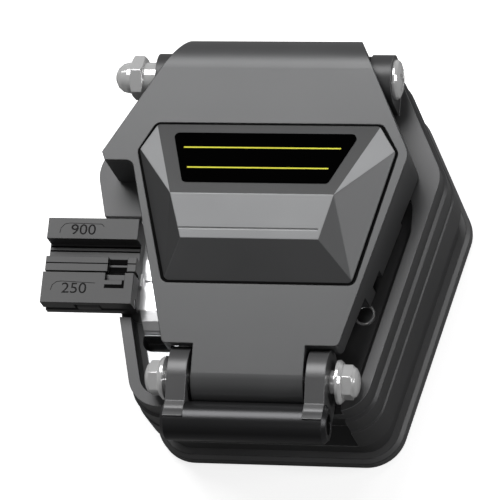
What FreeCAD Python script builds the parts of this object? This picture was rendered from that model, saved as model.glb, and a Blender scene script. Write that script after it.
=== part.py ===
"""Desktop fibre cleaver: cast body, lid with faceted bezel, blade carriage, clamps, handle and fibre holder.

Frame: millimetres, +Z up, +Y to the hinge at the rear, X across.
The origin lies on the resting surface, under the middle of the lid.
"""
import FreeCAD, Part
import os
import re
import Sketcher

doc = FreeCAD.newDocument("FibreCleaver")
Vector = FreeCAD.Vector
Rotation = FreeCAD.Rotation

# ---------------------------------------------------------------- sizes

SIZES = {
    # Reach of a cutting tool outside the part or past a face, and general clearances
    "far": 60.0, "past": 1.0, "fit": 0.1, "pin_fit": 0.05, "slide_fit": 0.1, "head_fit": 0.2,
    # Cast body: six rounded corners, given by the centres of their arcs
    "body_x": -1.5, "corner_round": 6.0, "side_cx": 25.1, "side_cy": 11.1, "front_cx": 15.9,
    "front_cy": 26.4, "rear_cx": 17.0, "rear_cy": 27.6, "mat_thick": 1.0, "mat_inset": 1.6,
    "plate_thick": 3.0, "plate_chamfer": 0.8, "flange_out": 1.2, "foot_rear_x": 18.0, "foot_rear_y": 12.0,
    "foot_front_x": 12.0, "foot_front_y": 20.0, "foot_head": 5.4, "foot_shank": 3.0, "foot_sink": 1.6,
    "foot_long": 9.0, "deck_top": 32.0, "upper_band": 4.8, "mid_band": 5.2, "low_band": 8.0,
    "step_out": 0.55, "mid_step": 0.3, "groove_in": 0.8, "groove_slope": 1.1, "lip_high": 0.5,
    "lip_in": 0.2, "rim_wide": 2.0, "rim_fillet": 1.4, "floor_drop": 3.4, "rear_deck_y": 9.0,
    "deck_left": 20.0, "recess_right": 25.2, "recess_round": 4.0, "drain_right": 16.4,
    "drain_left": 22.2, "drain_rear": 18.5, "drain_front": 21.4,
    "drain_round": 1.9, "drain_deep": 4.0,
    # Notch in the front rim for the handle, and the bay in the front wall
    "notch_half": 15.4, "notch_rear": 24.0, "notch_deep": 2.4, "window_half": 15.3, "window_gap": 0.8,
    "window_drop": 4.7, "tab_gap": 0.8,
    # Blade channel and the slot above it
    "channel_half": 7.2, "channel_ahead": 2.7, "channel_behind": 0.5, "deck_plate": 2.2, "slot_left": 5.4,
    "slot_right": 4.7, "slot_end": 0.3, "slot_gap": 0.4,
    # Rear hinge
    "axle_y": 27.25, "axle_rise": 6.25, "axle_dia": 4.0, "lug_dia": 8.8, "lug_in": 17.5, "lug_wide": 3.9,
    "pan_dia": 7.2, "pan_high": 1.5, "pan_edge": 0.5, "cross_wide": 0.9, "cross_long": 4.0,
    "cross_deep": 0.9, "collar_dia": 5.6, "collar_long": 2.6, "hex_edge": 0.9, "nut_flats": 7.0,
    "nut_high": 2.3, "dome_dia": 5.6, "dome_high": 3.3, "dome_edge": 0.8,
    # Lid
    "lid_rise": 10.8, "lid_fall": 0.08, "lid_plate": 1.8, "lid_wall": 1.8, "lid_rear": 15.1,
    "shoulder_x": 26.0, "shoulder_y": 11.2, "nose_right": 15.8, "nose_left": 15.6, "nose_y": 23.45,
    "horn_tip_x": 29.3, "horn_tip_y": 11.0, "horn_front_x": 28.7, "horn_front_y": 9.5, "neck_x": 23.6,
    "shoulder_round": 3.0, "neck_round": 1.5, "nose_round": 1.0, "skirt_front_rise": 4.3,
    "skirt_low_drop": 0.8, "skirt_rear_rise": 0.5,
    "skirt_knee": 13.0, "skirt_heel": 2.4, "tongue_half": 10.0, "barrel_dia": 8.2, "barrel_in": 9.5,
    "barrel_gap": 0.4, "bush_dia": 6.0, "bush_gap": 0.2, "way_half": 1.5, "way_high": 1.0,
    # Front pivot and handle
    "pivot_y": 28.3, "pivot_rise": 3.7, "pivot_dia": 2.8, "shank_in": 5.0, "ear_in": 10.6, "ear_wide": 3.5,
    "ear_dia": 11.2, "ear_gap": 0.4, "ear_top_turn": 80.0, "ear_foot_turn": 66.0, "tube_dia": 6.9,
    "tube_bore": 3.8, "tube_half": 14.7, "tube_edge": 0.7, "tube_ahead": 8.35, "tube_rise": 2.0,
    "arm_knee": 5.5, "arm_knee_high": 4.67, "arm_over": 0.35, "arm_nose": 0.5, "arm_toe": 1.6,
    "arm_under": 0.9, "arm_heel": 0.6, "arm_deep": 1.4, "web_near": 5.3, "web_top": 0.4, "web_low": 2.3,
    "web_mid": 7.6, "web_deep": 3.2, "web_toe": 2.0, "washer_dia": 7.8, "washer_thick": 1.0,
    "washer_edge": 0.5, "neck_long": 1.2, "spacer_dia": 4.2, "head_flats": 5.5, "head_high": 3.1,
    "head_edge": 1.6,
    # Faceted bezel and its label
    "bezel_gap": 0.5, "bezel_corner": 1.5, "bezel_sink": 0.8, "bezel_x": 0.7, "crest_x": -0.25,
    "bezel_rear_x": 20.45, "bezel_rear_y": 16.5, "bezel_side_x": 23.5, "bezel_side_y": 11.3,
    "bezel_front_x": 17.2, "bezel_front_y": 12.7, "ridge_x": 14.6, "ridge_y": 2.1, "ridge_high": 5.5,
    "brow_x": 12.3, "brow_y": 5.8, "brow_high": 4.9, "face_rear_y": 15.5, "face_rear_high": 0.7,
    "face_side_y": 11.6, "face_side_high": 0.35, "face_front_y": 11.7, "face_front_high": 0.23,
    "line_share": 0.78, "line_wide": 0.24, "line_deep": 0.16, "line_short": 0.7, "label_rear_x": 16.7,
    "label_rear_mid": 0.6, "label_rear_y": 14.2, "label_front_x": 13.0, "label_front_mid": -0.05,
    "label_front_y": 4.3, "label_corner": 0.9, "label_thick": 0.25,
    # Fibre line, clamps and anvil
    "fibre_y": 8.7, "fibre_rise": 1.2, "clamp_in": 6.4, "clamp_out": 12.4, "clamp_half": 4.0,
    "pad_thick": 1.1, "pad_inset": 0.5, "nip": 0.1, "bar_thick": 2.6, "bar_window": 2.6, "guide_dia": 2.4,
    "guide_x": 5.0, "guide_head": 3.4, "guide_head_high": 1.0, "guide_sunk": 0.7, "anvil_half": 1.5,
    "anvil_deep": 1.4, "anvil_tip": 0.8, "anvil_lift": 0.7, "anvil_high": 3.2, "stem_dia": 1.6,
    "stem_long": 1.9, "sleeve_dia": 2.6, "sleeve_long": 1.7, "wire": 0.5, "coil_dia": 3.2,
    "coil_turns": 3,
    # Blade and carriage
    "blade_dia": 16.0, "blade_thick": 1.6, "blade_bore": 4.0, "blade_rise": 0.05, "blade_start": 0.5,
    "bevel_long": 1.6, "edge_half": 0.1, "blade_gap": 0.35, "blade_side": 0.4, "hub_dia": 9.0,
    "hub_thick": 1.2, "screw_dia": 5.6, "screw_thick": 0.9, "screw_edge": 0.3, "screw_in": 2.7,
    "upright_wide": 3.4, "upright_half": 5.0, "upright_high": 2.9, "upright_top": 2.0, "block_half": 6.4,
    "block_long": 14.0, "block_high": 2.7, "runner_half": 4.2, "runner_roof": 1.5, "runner_lift": 0.3,
    "rail_wide": 5.0, "rail_high": 2.6, "rail_long": 34.0, "rail_front": 21.5, "rail_screw": 2.2,
    "rail_screw_in": 4.0, "rail_screw_deep": 2.5, "rail_head": 3.8, "rail_head_high": 1.0,
    "rail_head_in": 0.3, "stalk_half": 2.2, "stalk_high": 2.2, "stalk_gap": 0.4, "tab_drop": 6.0,
    "tab_reach": 31.6, "tab_edge": 0.4, "knob_half": 3.6, "knob_thick": 1.4,
    # Fibre holder, its flap and the polished platform
    "floor_plate": 0.5, "platform_inset": 0.2, "platform_thick": 1.6, "platform_rear": 2.9,
    "platform_front": 14.0, "nose_long": 4.1, "platform_in": 14.4, "score_wide": 0.3, "score_deep": 0.3,
    "key_wide": 2.4, "key_stem": 1.44, "key_high": 0.8, "key_left": 26.6, "key_right": 23.0,
    "holder_cut": 16.0, "notch_left": 22.4, "holder_right": 23.3, "holder_long": 16.7, "holder_rear": 1.2,
    "holder_wide": 15.95, "holder_high": 5.6, "ledge_wide": 3.9, "channel_deep": 3.0, "ridge_rear": 5.7,
    "ridge_front": 8.4, "ridge_drop": 1.0, "groove_floor": 0.5, "groove_wide": 0.35, "pocket_left": 28.5,
    "pocket_right": 24.9, "pocket_deep": 1.2, "pocket_long": 1.4, "flap_rear": 9.0, "flap_thick": 4.0,
    "flap_gap": 0.1, "flap_pin_dia": 1.2, "flap_pin_in": 1.15, "knuckle_dia": 2.2, "knuckle_long": 4.2,
    "knuckle_room": 4.0,
    # Magnet beside the lid
    "magnet_x": 17.5, "magnet_y": 13.6, "magnet_dia": 3.0, "ring_dia": 3.9, "ring_proud": 0.5,
    "ring_deep": 2.0, "ring_edge": 0.2,
}

DERIVED = {
    "plate_top": "mat_thick + plate_thick",
    "mid_top": "deck_top - upper_band",
    "mid_low": "mid_top - step_out - mid_band",
    "low_end": "mid_low - mid_step - low_band",
    "floor_z": "deck_top - floor_drop",
    "notch_low": "deck_top - notch_deep",
    "window_high": "deck_top - window_drop",
    "axle_z": "deck_top + axle_rise",
    "lid_base": "deck_top + lid_rise",
    "skirt_front": "deck_top + skirt_front_rise",
    "skirt_low": "deck_top - skirt_low_drop",
    "skirt_rear": "deck_top + skirt_rear_rise",
    "pivot_z": "deck_top + pivot_rise",
    "fibre_z": "deck_top + fibre_rise",
    "tab_high": "deck_top - tab_drop",
    "platform_top": "floor_z + platform_thick",
    "lug_out": "lug_in + lug_wide",
    "nut_foot": "lug_out + collar_long",
    "lid_tilt": "atan(lid_fall)",
    "lid_rear_round": "(lid_base + lid_fall * axle_y - axle_z) * cos(lid_tilt)",
    "knuckle_round": "(lid_base - lid_fall * pivot_y - pivot_z) * cos(lid_tilt)",
    "ear_out": "ear_in + ear_wide",
    "ear_round": "ear_dia / 2",
    "washer_foot": "ear_out + neck_long",
    "blade_z": "fibre_z + blade_rise - blade_dia / 2",
    "block_top": "blade_z - blade_dia / 2 - blade_gap",
    "block_low": "block_top - block_high",
    "channel_low": "block_low - runner_roof - slide_fit - rail_high",
    "channel_front": "rail_front + channel_ahead",
    "channel_rear": "rail_long - rail_front + channel_behind",
    "window_low": "block_low - window_gap",
    "window_rear": "tab_reach - knob_thick - tab_gap",
    "pad_top": "fibre_z - nip",
    "grip_z": "fibre_z + nip",
    "bar_low": "grip_z + pad_thick",
    "bar_top": "bar_low + bar_thick",
    "tip_low": "fibre_z + anvil_lift",
    "anvil_low": "tip_low + anvil_tip",
    "anvil_top": "anvil_low + anvil_high",
    "ceiling": "lid_base - lid_fall * fibre_y - lid_plate",
    "hub_out": "blade_thick / 2 + hub_thick",
    "screw_top": "hub_out + fit + screw_thick",
    "holder_top": "platform_top + holder_high",
    "holder_front": "holder_wide - holder_rear",
    "holder_mid": "holder_right + holder_long / 2",
    "channel_z": "holder_top - channel_deep",
    "ridge_top": "holder_top - ridge_drop",
    "flap_low": "holder_top - flap_thick",
    "flap_pin_y": "flap_pin_in - holder_front",
    "flap_pin_z": "flap_low + knuckle_dia / 2",
    "tube_y": "pivot_y + tube_ahead",
    "tube_z": "pivot_z + tube_rise",
    "tube_round": "tube_dia / 2",
}

sheet = doc.addObject("Spreadsheet::Sheet", "Sizes")
for row, (alias, amount) in enumerate(list(SIZES.items()) + list(DERIVED.items()), start=1):
    sheet.set(f"A{row}", alias)
    sheet.set(f"B{row}", f"={amount}" if alias in DERIVED else str(amount))
    sheet.setAlias(f"B{row}", alias)
doc.recompute()

# ---------------------------------------------------------------- helpers

TURN = {
    "X": Rotation(Vector(0, 1, 0), 90),
    "Y": Rotation(Vector(1, 0, 0), -90),
    "Z": Rotation(),
    "-X": Rotation(Vector(0, 1, 0), -90),
    "-Y": Rotation(Vector(1, 0, 0), 90),
    "-Z": Rotation(Vector(1, 0, 0), 180),
}


def in_sheet(text):
    """Points every size named in an expression at its cell."""
    return re.sub(r"\b([a-z][a-z_]+)\b(?!\s*\()", r"Sizes.\1", str(text))


def size(text):
    """Works an expression of named sizes out to a number."""
    found = sheet.evalExpression(in_sheet(text))
    return float(getattr(found, "Value", found))


def bind(thing, **properties):
    """Ties properties of a document object to the sheet."""
    for name, text in properties.items():
        thing.setExpression(name, in_sheet(text))
    return thing


def place(thing, at=("0", "0", "0"), axis="Z", turn=None):
    """Puts an object at a place given by expressions, with its own Z along an axis."""
    thing.Placement = FreeCAD.Placement(Vector(*[size(text) for text in at]), turn or TURN[axis])
    for letter, text in zip("xyz", at):
        thing.setExpression(f".Placement.Base.{letter}", in_sheet(text))
    return thing


def box(name, low, high):
    """Makes a box between two corners."""
    made = doc.addObject("Part::Box", name)
    spans = [f"({top}) - ({bottom})" for bottom, top in zip(low, high)]
    bind(made, Length=spans[0], Width=spans[1], Height=spans[2])
    return place(made, low)


def rod(name, dia, long, at, axis="Z"):
    """Makes a cylinder that starts at a place and runs along an axis."""
    made = doc.addObject("Part::Cylinder", name)
    bind(made, Radius=f"({dia}) / 2", Height=long)
    return place(made, at, axis)


def across(name, dia, x_low, x_high, y, z):
    """Makes a cylinder along X between two values of X."""
    return rod(name, dia, f"({x_high}) - ({x_low})", (x_low, y, z), "X")


def hexagon(name, flats, high, at, axis="Z"):
    """Makes a hexagonal prism from its width over flats."""
    made = doc.addObject("Part::Prism", name)
    made.Polygon = 6
    bind(made, Circumradius=f"({flats}) / sqrt(3)", Height=high)
    return place(made, at, axis)


def dome(radius, foot, high):
    """Corners of a quarter ellipse that rises from a rim to the axis."""
    rising = [(f"({radius}) * cos({turn})", f"({foot}) + ({high}) * sin({turn})") for turn in (0, 25, 50, 72)]
    return [*rising, ("0", f"({foot}) + ({high})")]


def cut(name, base, *tools):
    """Takes one or more tools out of a base."""
    made = doc.addObject("Part::Cut", name)
    made.Base = base
    made.Tool = tools[0] if len(tools) == 1 else fuse(name + "_tools", *tools)
    return made


def fuse(name, *shapes):
    """Joins shapes into one."""
    made = doc.addObject("Part::MultiFuse", name)
    made.Shapes = list(shapes)
    made.Refine = True
    return made


def common(name, *shapes):
    """Keeps what shapes share."""
    made = doc.addObject("Part::MultiCommon", name)
    made.Shapes = list(shapes)
    return made


def group(name, *shapes):
    """Keeps identical fasteners as one object of separate solids."""
    made = doc.addObject("Part::Compound", name)
    made.Links = list(shapes)
    return made


def outline(owner, name, plane, points):
    """Draws a closed polygon whose corners are given by pairs of expressions."""
    sketch = owner.newObject("Sketcher::SketchObject", name)
    planes = [part for part in owner.Origin.OriginFeatures if part.Role == plane]
    sketch.AttachmentSupport = [(planes[0], "")]
    sketch.MapMode = "FlatFace"
    draw(sketch, points)
    return sketch


def draw(sketch, points):
    """Adds a closed polygon to a sketch and ties each corner to the sheet."""
    corners = [Vector(size(u), size(v), 0) for u, v in points]
    for index, corner in enumerate(corners):
        sketch.addGeometry(Part.LineSegment(corner, corners[(index + 1) % len(corners)]), False)
    for index in range(len(corners)):
        sketch.addConstraint(Sketcher.Constraint("Coincident", index, 2, (index + 1) % len(corners), 1))
    for index, (u, v) in enumerate(points):
        for kind, text in (("DistanceX", u), ("DistanceY", v)):
            added = sketch.addConstraint(Sketcher.Constraint(kind, index, 1, size(text)))
            sketch.setExpression(f"Constraints[{added}]", in_sheet(text))


def pad(name, plane, points, long, both=False, start=None):
    """Makes a body by padding a polygon, to one side or to both sides of its plane."""
    made = doc.addObject("PartDesign::Body", name)
    sketch = outline(made, name + "_outline", plane, points)
    if start is not None:
        bind(sketch, **{"AttachmentOffset.Base.z": start})
    grown = made.newObject("PartDesign::Pad", name + "_pad")
    grown.Profile = sketch
    grown.Midplane = both
    bind(grown, Length=long)
    made.Tip = grown
    return made


def turned(name, profile, at=("0", "0", "0"), axis="Z"):
    """Makes a body by turning a profile of (radius, height) pairs about its own Z."""
    made = doc.addObject("PartDesign::Body", name)
    sketch = outline(made, name + "_profile", "XZ_Plane", profile)
    spun = made.newObject("PartDesign::Revolution", name + "_turn")
    spun.Profile = sketch
    spun.ReferenceAxis = (sketch, ["V_Axis"])
    spun.Angle = 360.0
    made.Tip = spun
    return place(made, at, axis)


def ring(name, grow, level):
    """Draws the body outline, grown by a distance, at a level."""
    core = doc.addObject("Sketcher::SketchObject", name + "_core")
    draw(core, [
        ("body_x + side_cx", "side_cy"), ("body_x + rear_cx", "rear_cy"), ("body_x - rear_cx", "rear_cy"),
        ("body_x - side_cx", "side_cy"), ("body_x - front_cx", "-front_cy"),
        ("body_x + front_cx", "-front_cy"),
    ])
    bind(core, **{"Placement.Base.z": level})
    made = doc.addObject("Part::Offset2D", name)
    made.Source = core
    bind(made, Value=f"corner_round + ({grow})")
    return made


def stack(name, levels):
    """Builds a solid with straight walls between grown outlines, listed from the bottom up."""
    made = doc.addObject("Part::Loft", name)
    made.Sections = [ring(f"{name}_{index}", grow, level) for index, (grow, level) in enumerate(levels)]
    made.Solid = True
    made.Ruled = True
    return made


def round_uprights(made, corners, radius):
    """Rounds the upright edges of a padded body that stand at the given corners."""
    doc.recompute()
    before = made.Tip
    shape = before.Shape
    places = [Vector(size(u), size(v), 0) for u, v in corners]
    names = []
    for index, edge in enumerate(shape.Edges, start=1):
        ends = [vertex.Point for vertex in edge.Vertexes]
        if len(ends) < 2 or abs(ends[0].z - ends[1].z) < 1e-3:
            continue
        foot = Vector(ends[0].x, ends[0].y, 0)
        if any(foot.distanceToPoint(spot) < 1e-3 for spot in places):
            names.append(f"Edge{index}")
    rounded = made.newObject("PartDesign::Fillet", f"{made.Name}_round_{len(made.Group)}")
    rounded.Base = (before, names)
    bind(rounded, Radius=radius)
    made.Tip = rounded
    doc.recompute()
    return made


# ---------------------------------------------------------------- base

def base_screws(name, oversize, head_extra):
    """Four countersunk screws that hold the flange plate to the casting, or the holes for them."""
    spots = [("foot_rear_x", "foot_rear_y"), ("-foot_rear_x", "foot_rear_y"),
             ("foot_front_x", "-foot_front_y"), ("-foot_front_x", "-foot_front_y")]
    screws = []
    for index, (x, y) in enumerate(spots):
        profile = [
            ("0", "0"), (f"foot_head / 2 + {head_extra}", "0"), (f"foot_shank / 2 + {oversize}", "foot_sink"),
            (f"foot_shank / 2 + {oversize}", f"foot_long + {head_extra}"), ("0", f"foot_long + {head_extra}"),
        ]
        screws.append(turned(f"{name}_{index}", profile, (f"body_x + {x}", y, "mat_thick")))
    return group(name, *screws)


def make_base_plate():
    """Flange plate with a chamfered upper edge."""
    slab = stack("base_plate_slab", [
        ("flange_out", "mat_thick"),
        ("flange_out", "plate_top - plate_chamfer"),
        ("flange_out - plate_chamfer", "plate_top"),
    ])
    return cut("base_plate", slab, base_screws("plate_holes", "fit", "fit"))


def make_mat():
    """Anti-slip mat under the plate."""
    return stack("rubber_mat", [("-mat_inset", "0"), ("-mat_inset", "mat_thick")])


DRAIN = [("-drain_right", "-drain_rear"), ("-drain_left", "-drain_rear"),
         ("-drain_left", "-drain_front"), ("-drain_right", "-drain_front")]


def make_drain(name):
    """Slot that lets fibre scrap fall out of the deck, as a tool."""
    slot = pad(name, "XY_Plane", DRAIN, "far", start="floor_z - drain_deep")
    return round_uprights(slot, DRAIN[2:3], "drain_round")


def make_casting_walls():
    """Outer form of the casting with its stepped walls and its hinge lugs."""
    walls = stack("casting_walls", [
        ("-groove_in", "plate_top"),
        ("-groove_in", "low_end - lip_high - groove_slope"),
        ("step_out - lip_in", "low_end - lip_high"),
        ("step_out + mid_step", "low_end"),
        ("step_out + mid_step", "mid_low - mid_step"),
        ("step_out", "mid_low"),
        ("step_out", "mid_top - step_out"),
        ("0", "mid_top"),
        ("0", "deck_top"),
    ])
    lugs = []
    for side, low, high in (("right", "lug_in", "lug_out"), ("left", "-lug_out", "-lug_in")):
        lugs.append(across(f"lug_{side}_round", "lug_dia", low, high, "axle_y", "axle_z"))
        lugs.append(box(f"lug_{side}_foot", (low, "axle_y - lug_dia / 2", "deck_top - past"),
                        (high, "axle_y + lug_dia / 2", "axle_z")))
    return fuse("casting_solid", walls, *lugs)


def make_casting():
    """Body casting: stepped walls, recessed deck, front bay, blade channel and hinge lugs."""
    half_round = "rim_fillet * (1 - sqrt(0.5))"
    tray = stack("tray", [
        ("-rim_wide - rim_fillet", "floor_z"),
        (f"-rim_wide - {half_round}", f"floor_z + {half_round}"),
        ("-rim_wide", "floor_z + rim_fillet"),
        ("-rim_wide", "deck_top + past"),
    ])
    rear_corner = ("recess_right", "rear_deck_y")
    tray_rear = pad("tray_rear", "XY_Plane", [
        ("-deck_left", "-far"), ("recess_right", "-far"), rear_corner, ("-deck_left", "rear_deck_y"),
    ], "far")
    tray_area = fuse(
        "tray_area",
        box("tray_left", ("-far", "-far", "0"), ("0", "platform_rear + slide_fit", "far")),
        round_uprights(tray_rear, [rear_corner], "recess_round"),
    )
    cuts = [
        common("deck_recess", tray, tray_area),
        box("holder_notch", ("-far", "-holder_cut", "floor_z"),
            ("-notch_left", "platform_rear + slide_fit", "far")),
        box("front_notch", ("-notch_half", "-far", "notch_low"), ("notch_half", "-notch_rear", "far")),
        box("front_window", ("-window_half", "-far", "window_low"),
            ("window_half", "-window_rear", "window_high")),
        box("channel", ("-channel_half", "-channel_front", "channel_low"),
            ("channel_half", "channel_rear", "floor_z - deck_plate")),
        box("stalk_way", ("-stalk_half - stalk_gap", "-far", "block_low - stalk_gap"),
            ("stalk_half + stalk_gap", "past - channel_front", "block_low + stalk_high + stalk_gap")),
        box("blade_slot", ("-slot_left", "slot_end - channel_front", "block_low"),
            ("slot_right", "blade_start + blade_dia / 2 + slot_gap", "far")),
        across("hinge_well", "2 * (lid_rear_round + barrel_gap)", "bush_gap - lug_in", "lug_in - bush_gap",
               "axle_y", "axle_z"),
        across("lug_bore", "axle_dia + fit", "-far", "far", "axle_y", "axle_z"),
        rod("ring_seat", "ring_dia + fit", "ring_deep + past",
            ("magnet_x", "-magnet_y", "floor_z - ring_deep - fit")),
        make_drain("drain"),
        base_screws("casting_holes", "fit", "3 * fit"),
    ]
    for end, y in RAIL_SCREWS:
        cuts.append(rod(f"rail_hole_{end}", "rail_screw + fit", "rail_screw_deep + past",
                        ("0", y, "channel_low - rail_screw_deep - past / 2")))
    return cut("body_casting", make_casting_walls(), *cuts)


def make_floor_plate():
    """Polished liner in the front left of the recessed deck."""
    inner = "-rim_wide - rim_fillet - fit"
    sheet_metal = stack("liner_blank", [(inner, "floor_z"), (inner, "floor_z + floor_plate")])
    area = box("liner_area", ("-far", "-far", "0"),
               ("-notch_half", "-(platform_front + nose_long + 2 * fit)", "far"))
    return cut("deck_liner", common("liner_sheet", sheet_metal, area), make_drain("liner_opening"))


def make_platform():
    """Polished platform with a rolled front edge and a T-shaped key that guides the holder."""
    blank = stack("platform_blank", [("-platform_inset", "floor_z"), ("-platform_inset", "platform_top")])
    area = box("platform_area", ("-far", "-platform_front", "0"), ("-platform_in", "platform_rear", "far"))
    roll = [(f"-(platform_front + nose_long * sin({turn}))", f"floor_z + platform_thick * cos({turn})")
            for turn in (0, 30, 60, 85)]
    nose = pad("platform_nose", "YZ_Plane", [
        ("-platform_front", "floor_z"), *roll, ("-(platform_front + nose_long)", "floor_z"),
    ], "far")
    place(nose, ("-far - platform_in", "0", "0"))
    inner = "-rim_wide - rim_fillet - fit"
    inside = stack("platform_roll_area", [(inner, "floor_z"), (inner, "platform_top")])
    stem = box("key_stem_block", ("-key_left", "-fibre_y - key_stem / 2", "platform_top - 2 * fit"),
               ("-key_right", "key_stem / 2 - fibre_y", "platform_top + key_high"))
    head = box("key_head", ("-key_left", "-fibre_y - key_wide / 2", "platform_top + key_high / 2"),
               ("-key_right", "key_wide / 2 - fibre_y", "platform_top + key_high"))
    solid = fuse("platform_solid", common("platform_plate", blank, area),
                 common("platform_roll", nose, inside), stem, head)
    groove = box("platform_groove",
                 ("past - neck_x", "-fibre_y - score_wide / 2", "platform_top - score_deep"),
                 ("0", "score_wide / 2 - fibre_y", "far"))
    return cut("holder_platform", solid, groove)


def make_lower_clamps():
    """Steel seats with rubber pads, one each side of the blade."""
    made = []
    for side, low, high in (("left", "-clamp_out", "-clamp_in"), ("right", "clamp_in", "clamp_out")):
        made.append(box(f"lower_seat_{side}", (low, "-(fibre_y + clamp_half)", "floor_z"),
                        (high, "-(fibre_y - clamp_half)", "pad_top - pad_thick")))
        made.append(box(f"lower_pad_{side}",
                        (f"{low} + pad_inset", "-(fibre_y + clamp_half - pad_inset)", "pad_top - pad_thick"),
                        (f"{high} - pad_inset", "-(fibre_y - clamp_half + pad_inset)", "pad_top")))
    return made


RAIL_SCREWS = [("front", "rail_screw_in - rail_front"), ("rear", "rail_long - rail_front - rail_screw_in")]


def make_rail():
    """Guide rail on the channel floor and its two screws."""
    bar = box("rail_bar", ("-rail_wide / 2", "-rail_front", "channel_low"),
              ("rail_wide / 2", "rail_long - rail_front", "channel_low + rail_high"))
    holes = []
    screws = []
    top = "rail_high - rail_head_in"
    for end, y in RAIL_SCREWS:
        holes.append(rod(f"rail_through_{end}", "rail_screw + fit", "far", ("0", y, "channel_low - past")))
        holes.append(rod(f"rail_sink_{end}", "rail_head + 2 * fit", "far",
                         ("0", y, f"channel_low + {top} - rail_head_high - pin_fit")))
        screws.append(turned(f"rail_screw_{end}", [
            ("0", "-rail_screw_deep"), ("rail_screw / 2", "-rail_screw_deep"),
            ("rail_screw / 2", f"{top} - rail_head_high"), ("rail_head / 2", f"{top} - rail_head_high"),
            ("rail_head / 2", top), ("0", top),
        ], ("0", y, "channel_low")))
    return [cut("guide_rail", bar, *holes), group("rail_screws", *screws)]


def make_magnet():
    """Lid magnet in its bright ring."""
    ring_part = turned("magnet_ring", [
        ("magnet_dia / 2 + pin_fit", "-ring_deep"), ("ring_dia / 2", "-ring_deep"),
        ("ring_dia / 2", "ring_proud - ring_edge"), ("ring_dia / 2 - ring_edge", "ring_proud"),
        ("magnet_dia / 2 + pin_fit", "ring_proud"),
    ], ("magnet_x", "-magnet_y", "floor_z"))
    core = rod("deck_magnet", "magnet_dia", "ring_deep + fit",
               ("magnet_x", "-magnet_y", "floor_z - ring_deep"))
    return [ring_part, core]


def make_axle():
    """Pan head screw through the hinge, with its collar and acorn nut."""
    screw = turned("axle_turned", [
        ("0", "-(lug_out + nut_foot + nut_high)"), ("axle_dia / 2", "-(lug_out + nut_foot + nut_high)"),
        ("axle_dia / 2", "0"), ("pan_dia / 2", "0"), *dome("pan_dia / 2", "pan_edge", "pan_high - pan_edge"),
    ], ("lug_out", "axle_y", "axle_z"), "X")
    cross = []
    for name, deep, tall in (("upright", "cross_wide", "cross_long"), ("level", "cross_long", "cross_wide")):
        cross.append(box(
            f"cross_{name}",
            ("lug_out + pan_high - cross_deep", f"axle_y - {deep} / 2", f"axle_z - {tall} / 2"),
            ("far", f"axle_y + {deep} / 2", f"axle_z + {tall} / 2")))
    collar = turned("axle_collar", [
        ("axle_dia / 2 + pin_fit", "0"), ("collar_dia / 2", "0"), ("collar_dia / 2", "collar_long"),
        ("axle_dia / 2 + pin_fit", "collar_long"),
    ], ("-lug_out", "axle_y", "axle_z"), "-X")
    foot = ("-nut_foot", "axle_y", "axle_z")
    faced = turned("nut_chamfer", [
        ("0", "0"), ("nut_flats / 2", "0"), ("nut_flats / 2 + hex_edge", "hex_edge / 2"),
        ("nut_flats / 2 + hex_edge", "nut_high - hex_edge / 2"), ("nut_flats / 2", "nut_high"),
        ("0", "nut_high"),
    ], foot, "-X")
    cap = turned("nut_dome", [
        ("0", "nut_high - past"), ("dome_dia / 2", "nut_high - past"),
        *dome("dome_dia / 2", "nut_high + dome_edge", "dome_high - dome_edge"),
    ], foot, "-X")
    hexes = hexagon("nut_hexagon", "nut_flats", "nut_high", foot, "-X")
    nut = fuse("nut_shaped", common("nut_faced", hexes, faced), cap)
    bore = across("nut_bore", "axle_dia + fit", "-(nut_foot + nut_high + 2 * fit)", "0", "axle_y", "axle_z")
    return [cut("axle_screw", screw, *cross), collar, cut("acorn_nut", nut, bore)]


# ---------------------------------------------------------------- blade carriage

def make_carriage():
    """Runner, block with its upright, push tab and the screw the blade turns on."""
    low, high = "blade_start - block_long / 2", "blade_start + block_long / 2"
    runner = cut(
        "carriage_runner",
        box("runner_blank", ("-runner_half", low, "channel_low + runner_lift"),
            ("runner_half", high, "block_low")),
        box("runner_slot", ("-rail_wide / 2 - slide_fit", "-far", "0"),
            ("rail_wide / 2 + slide_fit", "far", "channel_low + rail_high + slide_fit")),
    )
    inner = "-(blade_thick / 2 + blade_side)"
    upright = pad("upright", "YZ_Plane", [
        ("blade_start - upright_half", "block_top - past"),
        ("blade_start + upright_half", "block_top - past"),
        ("blade_start + upright_half", "blade_z"), ("blade_start + upright_top", "blade_z + upright_high"),
        ("blade_start - upright_top", "blade_z + upright_high"), ("blade_start - upright_half", "blade_z"),
    ], "upright_wide")
    place(upright, (f"{inner} - upright_wide", "0", "0"))
    bar = box("block_bar", ("-block_half", low, "block_low"), ("block_half", high, "block_top"))
    block = cut("carriage_block", fuse("block_solid", bar, upright),
                across("upright_bore", "blade_bore - 2 * pin_fit", "-far", "0", "blade_start", "blade_z"))
    tab = fuse(
        "push_tab",
        box("tab_stalk", ("-stalk_half", "knob_thick / 2 - tab_reach", "block_low"),
            ("stalk_half", low, "block_low + stalk_high")),
        pad("tab_plate", "YZ_Plane", [
            ("-tab_reach", "block_low + tab_edge"), ("tab_edge - tab_reach", "block_low"),
            ("knob_thick - tab_reach", "block_low"), ("knob_thick - tab_reach", "tab_high"),
            ("tab_edge - tab_reach", "tab_high"), ("-tab_reach", "tab_high - tab_edge"),
        ], "2 * knob_half", both=True),
    )
    screw = turned("blade_screw", [
        ("0", f"{inner} - screw_in"), ("blade_bore / 2 - pin_fit", f"{inner} - screw_in"),
        ("blade_bore / 2 - pin_fit", "hub_out + fit"), ("screw_dia / 2", "hub_out + fit"),
        ("screw_dia / 2", "screw_top - screw_edge"), ("screw_dia / 2 - screw_edge", "screw_top"),
        ("0", "screw_top"),
    ], ("0", "blade_start", "blade_z"), "X")
    return [runner, block, tab, screw]


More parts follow.
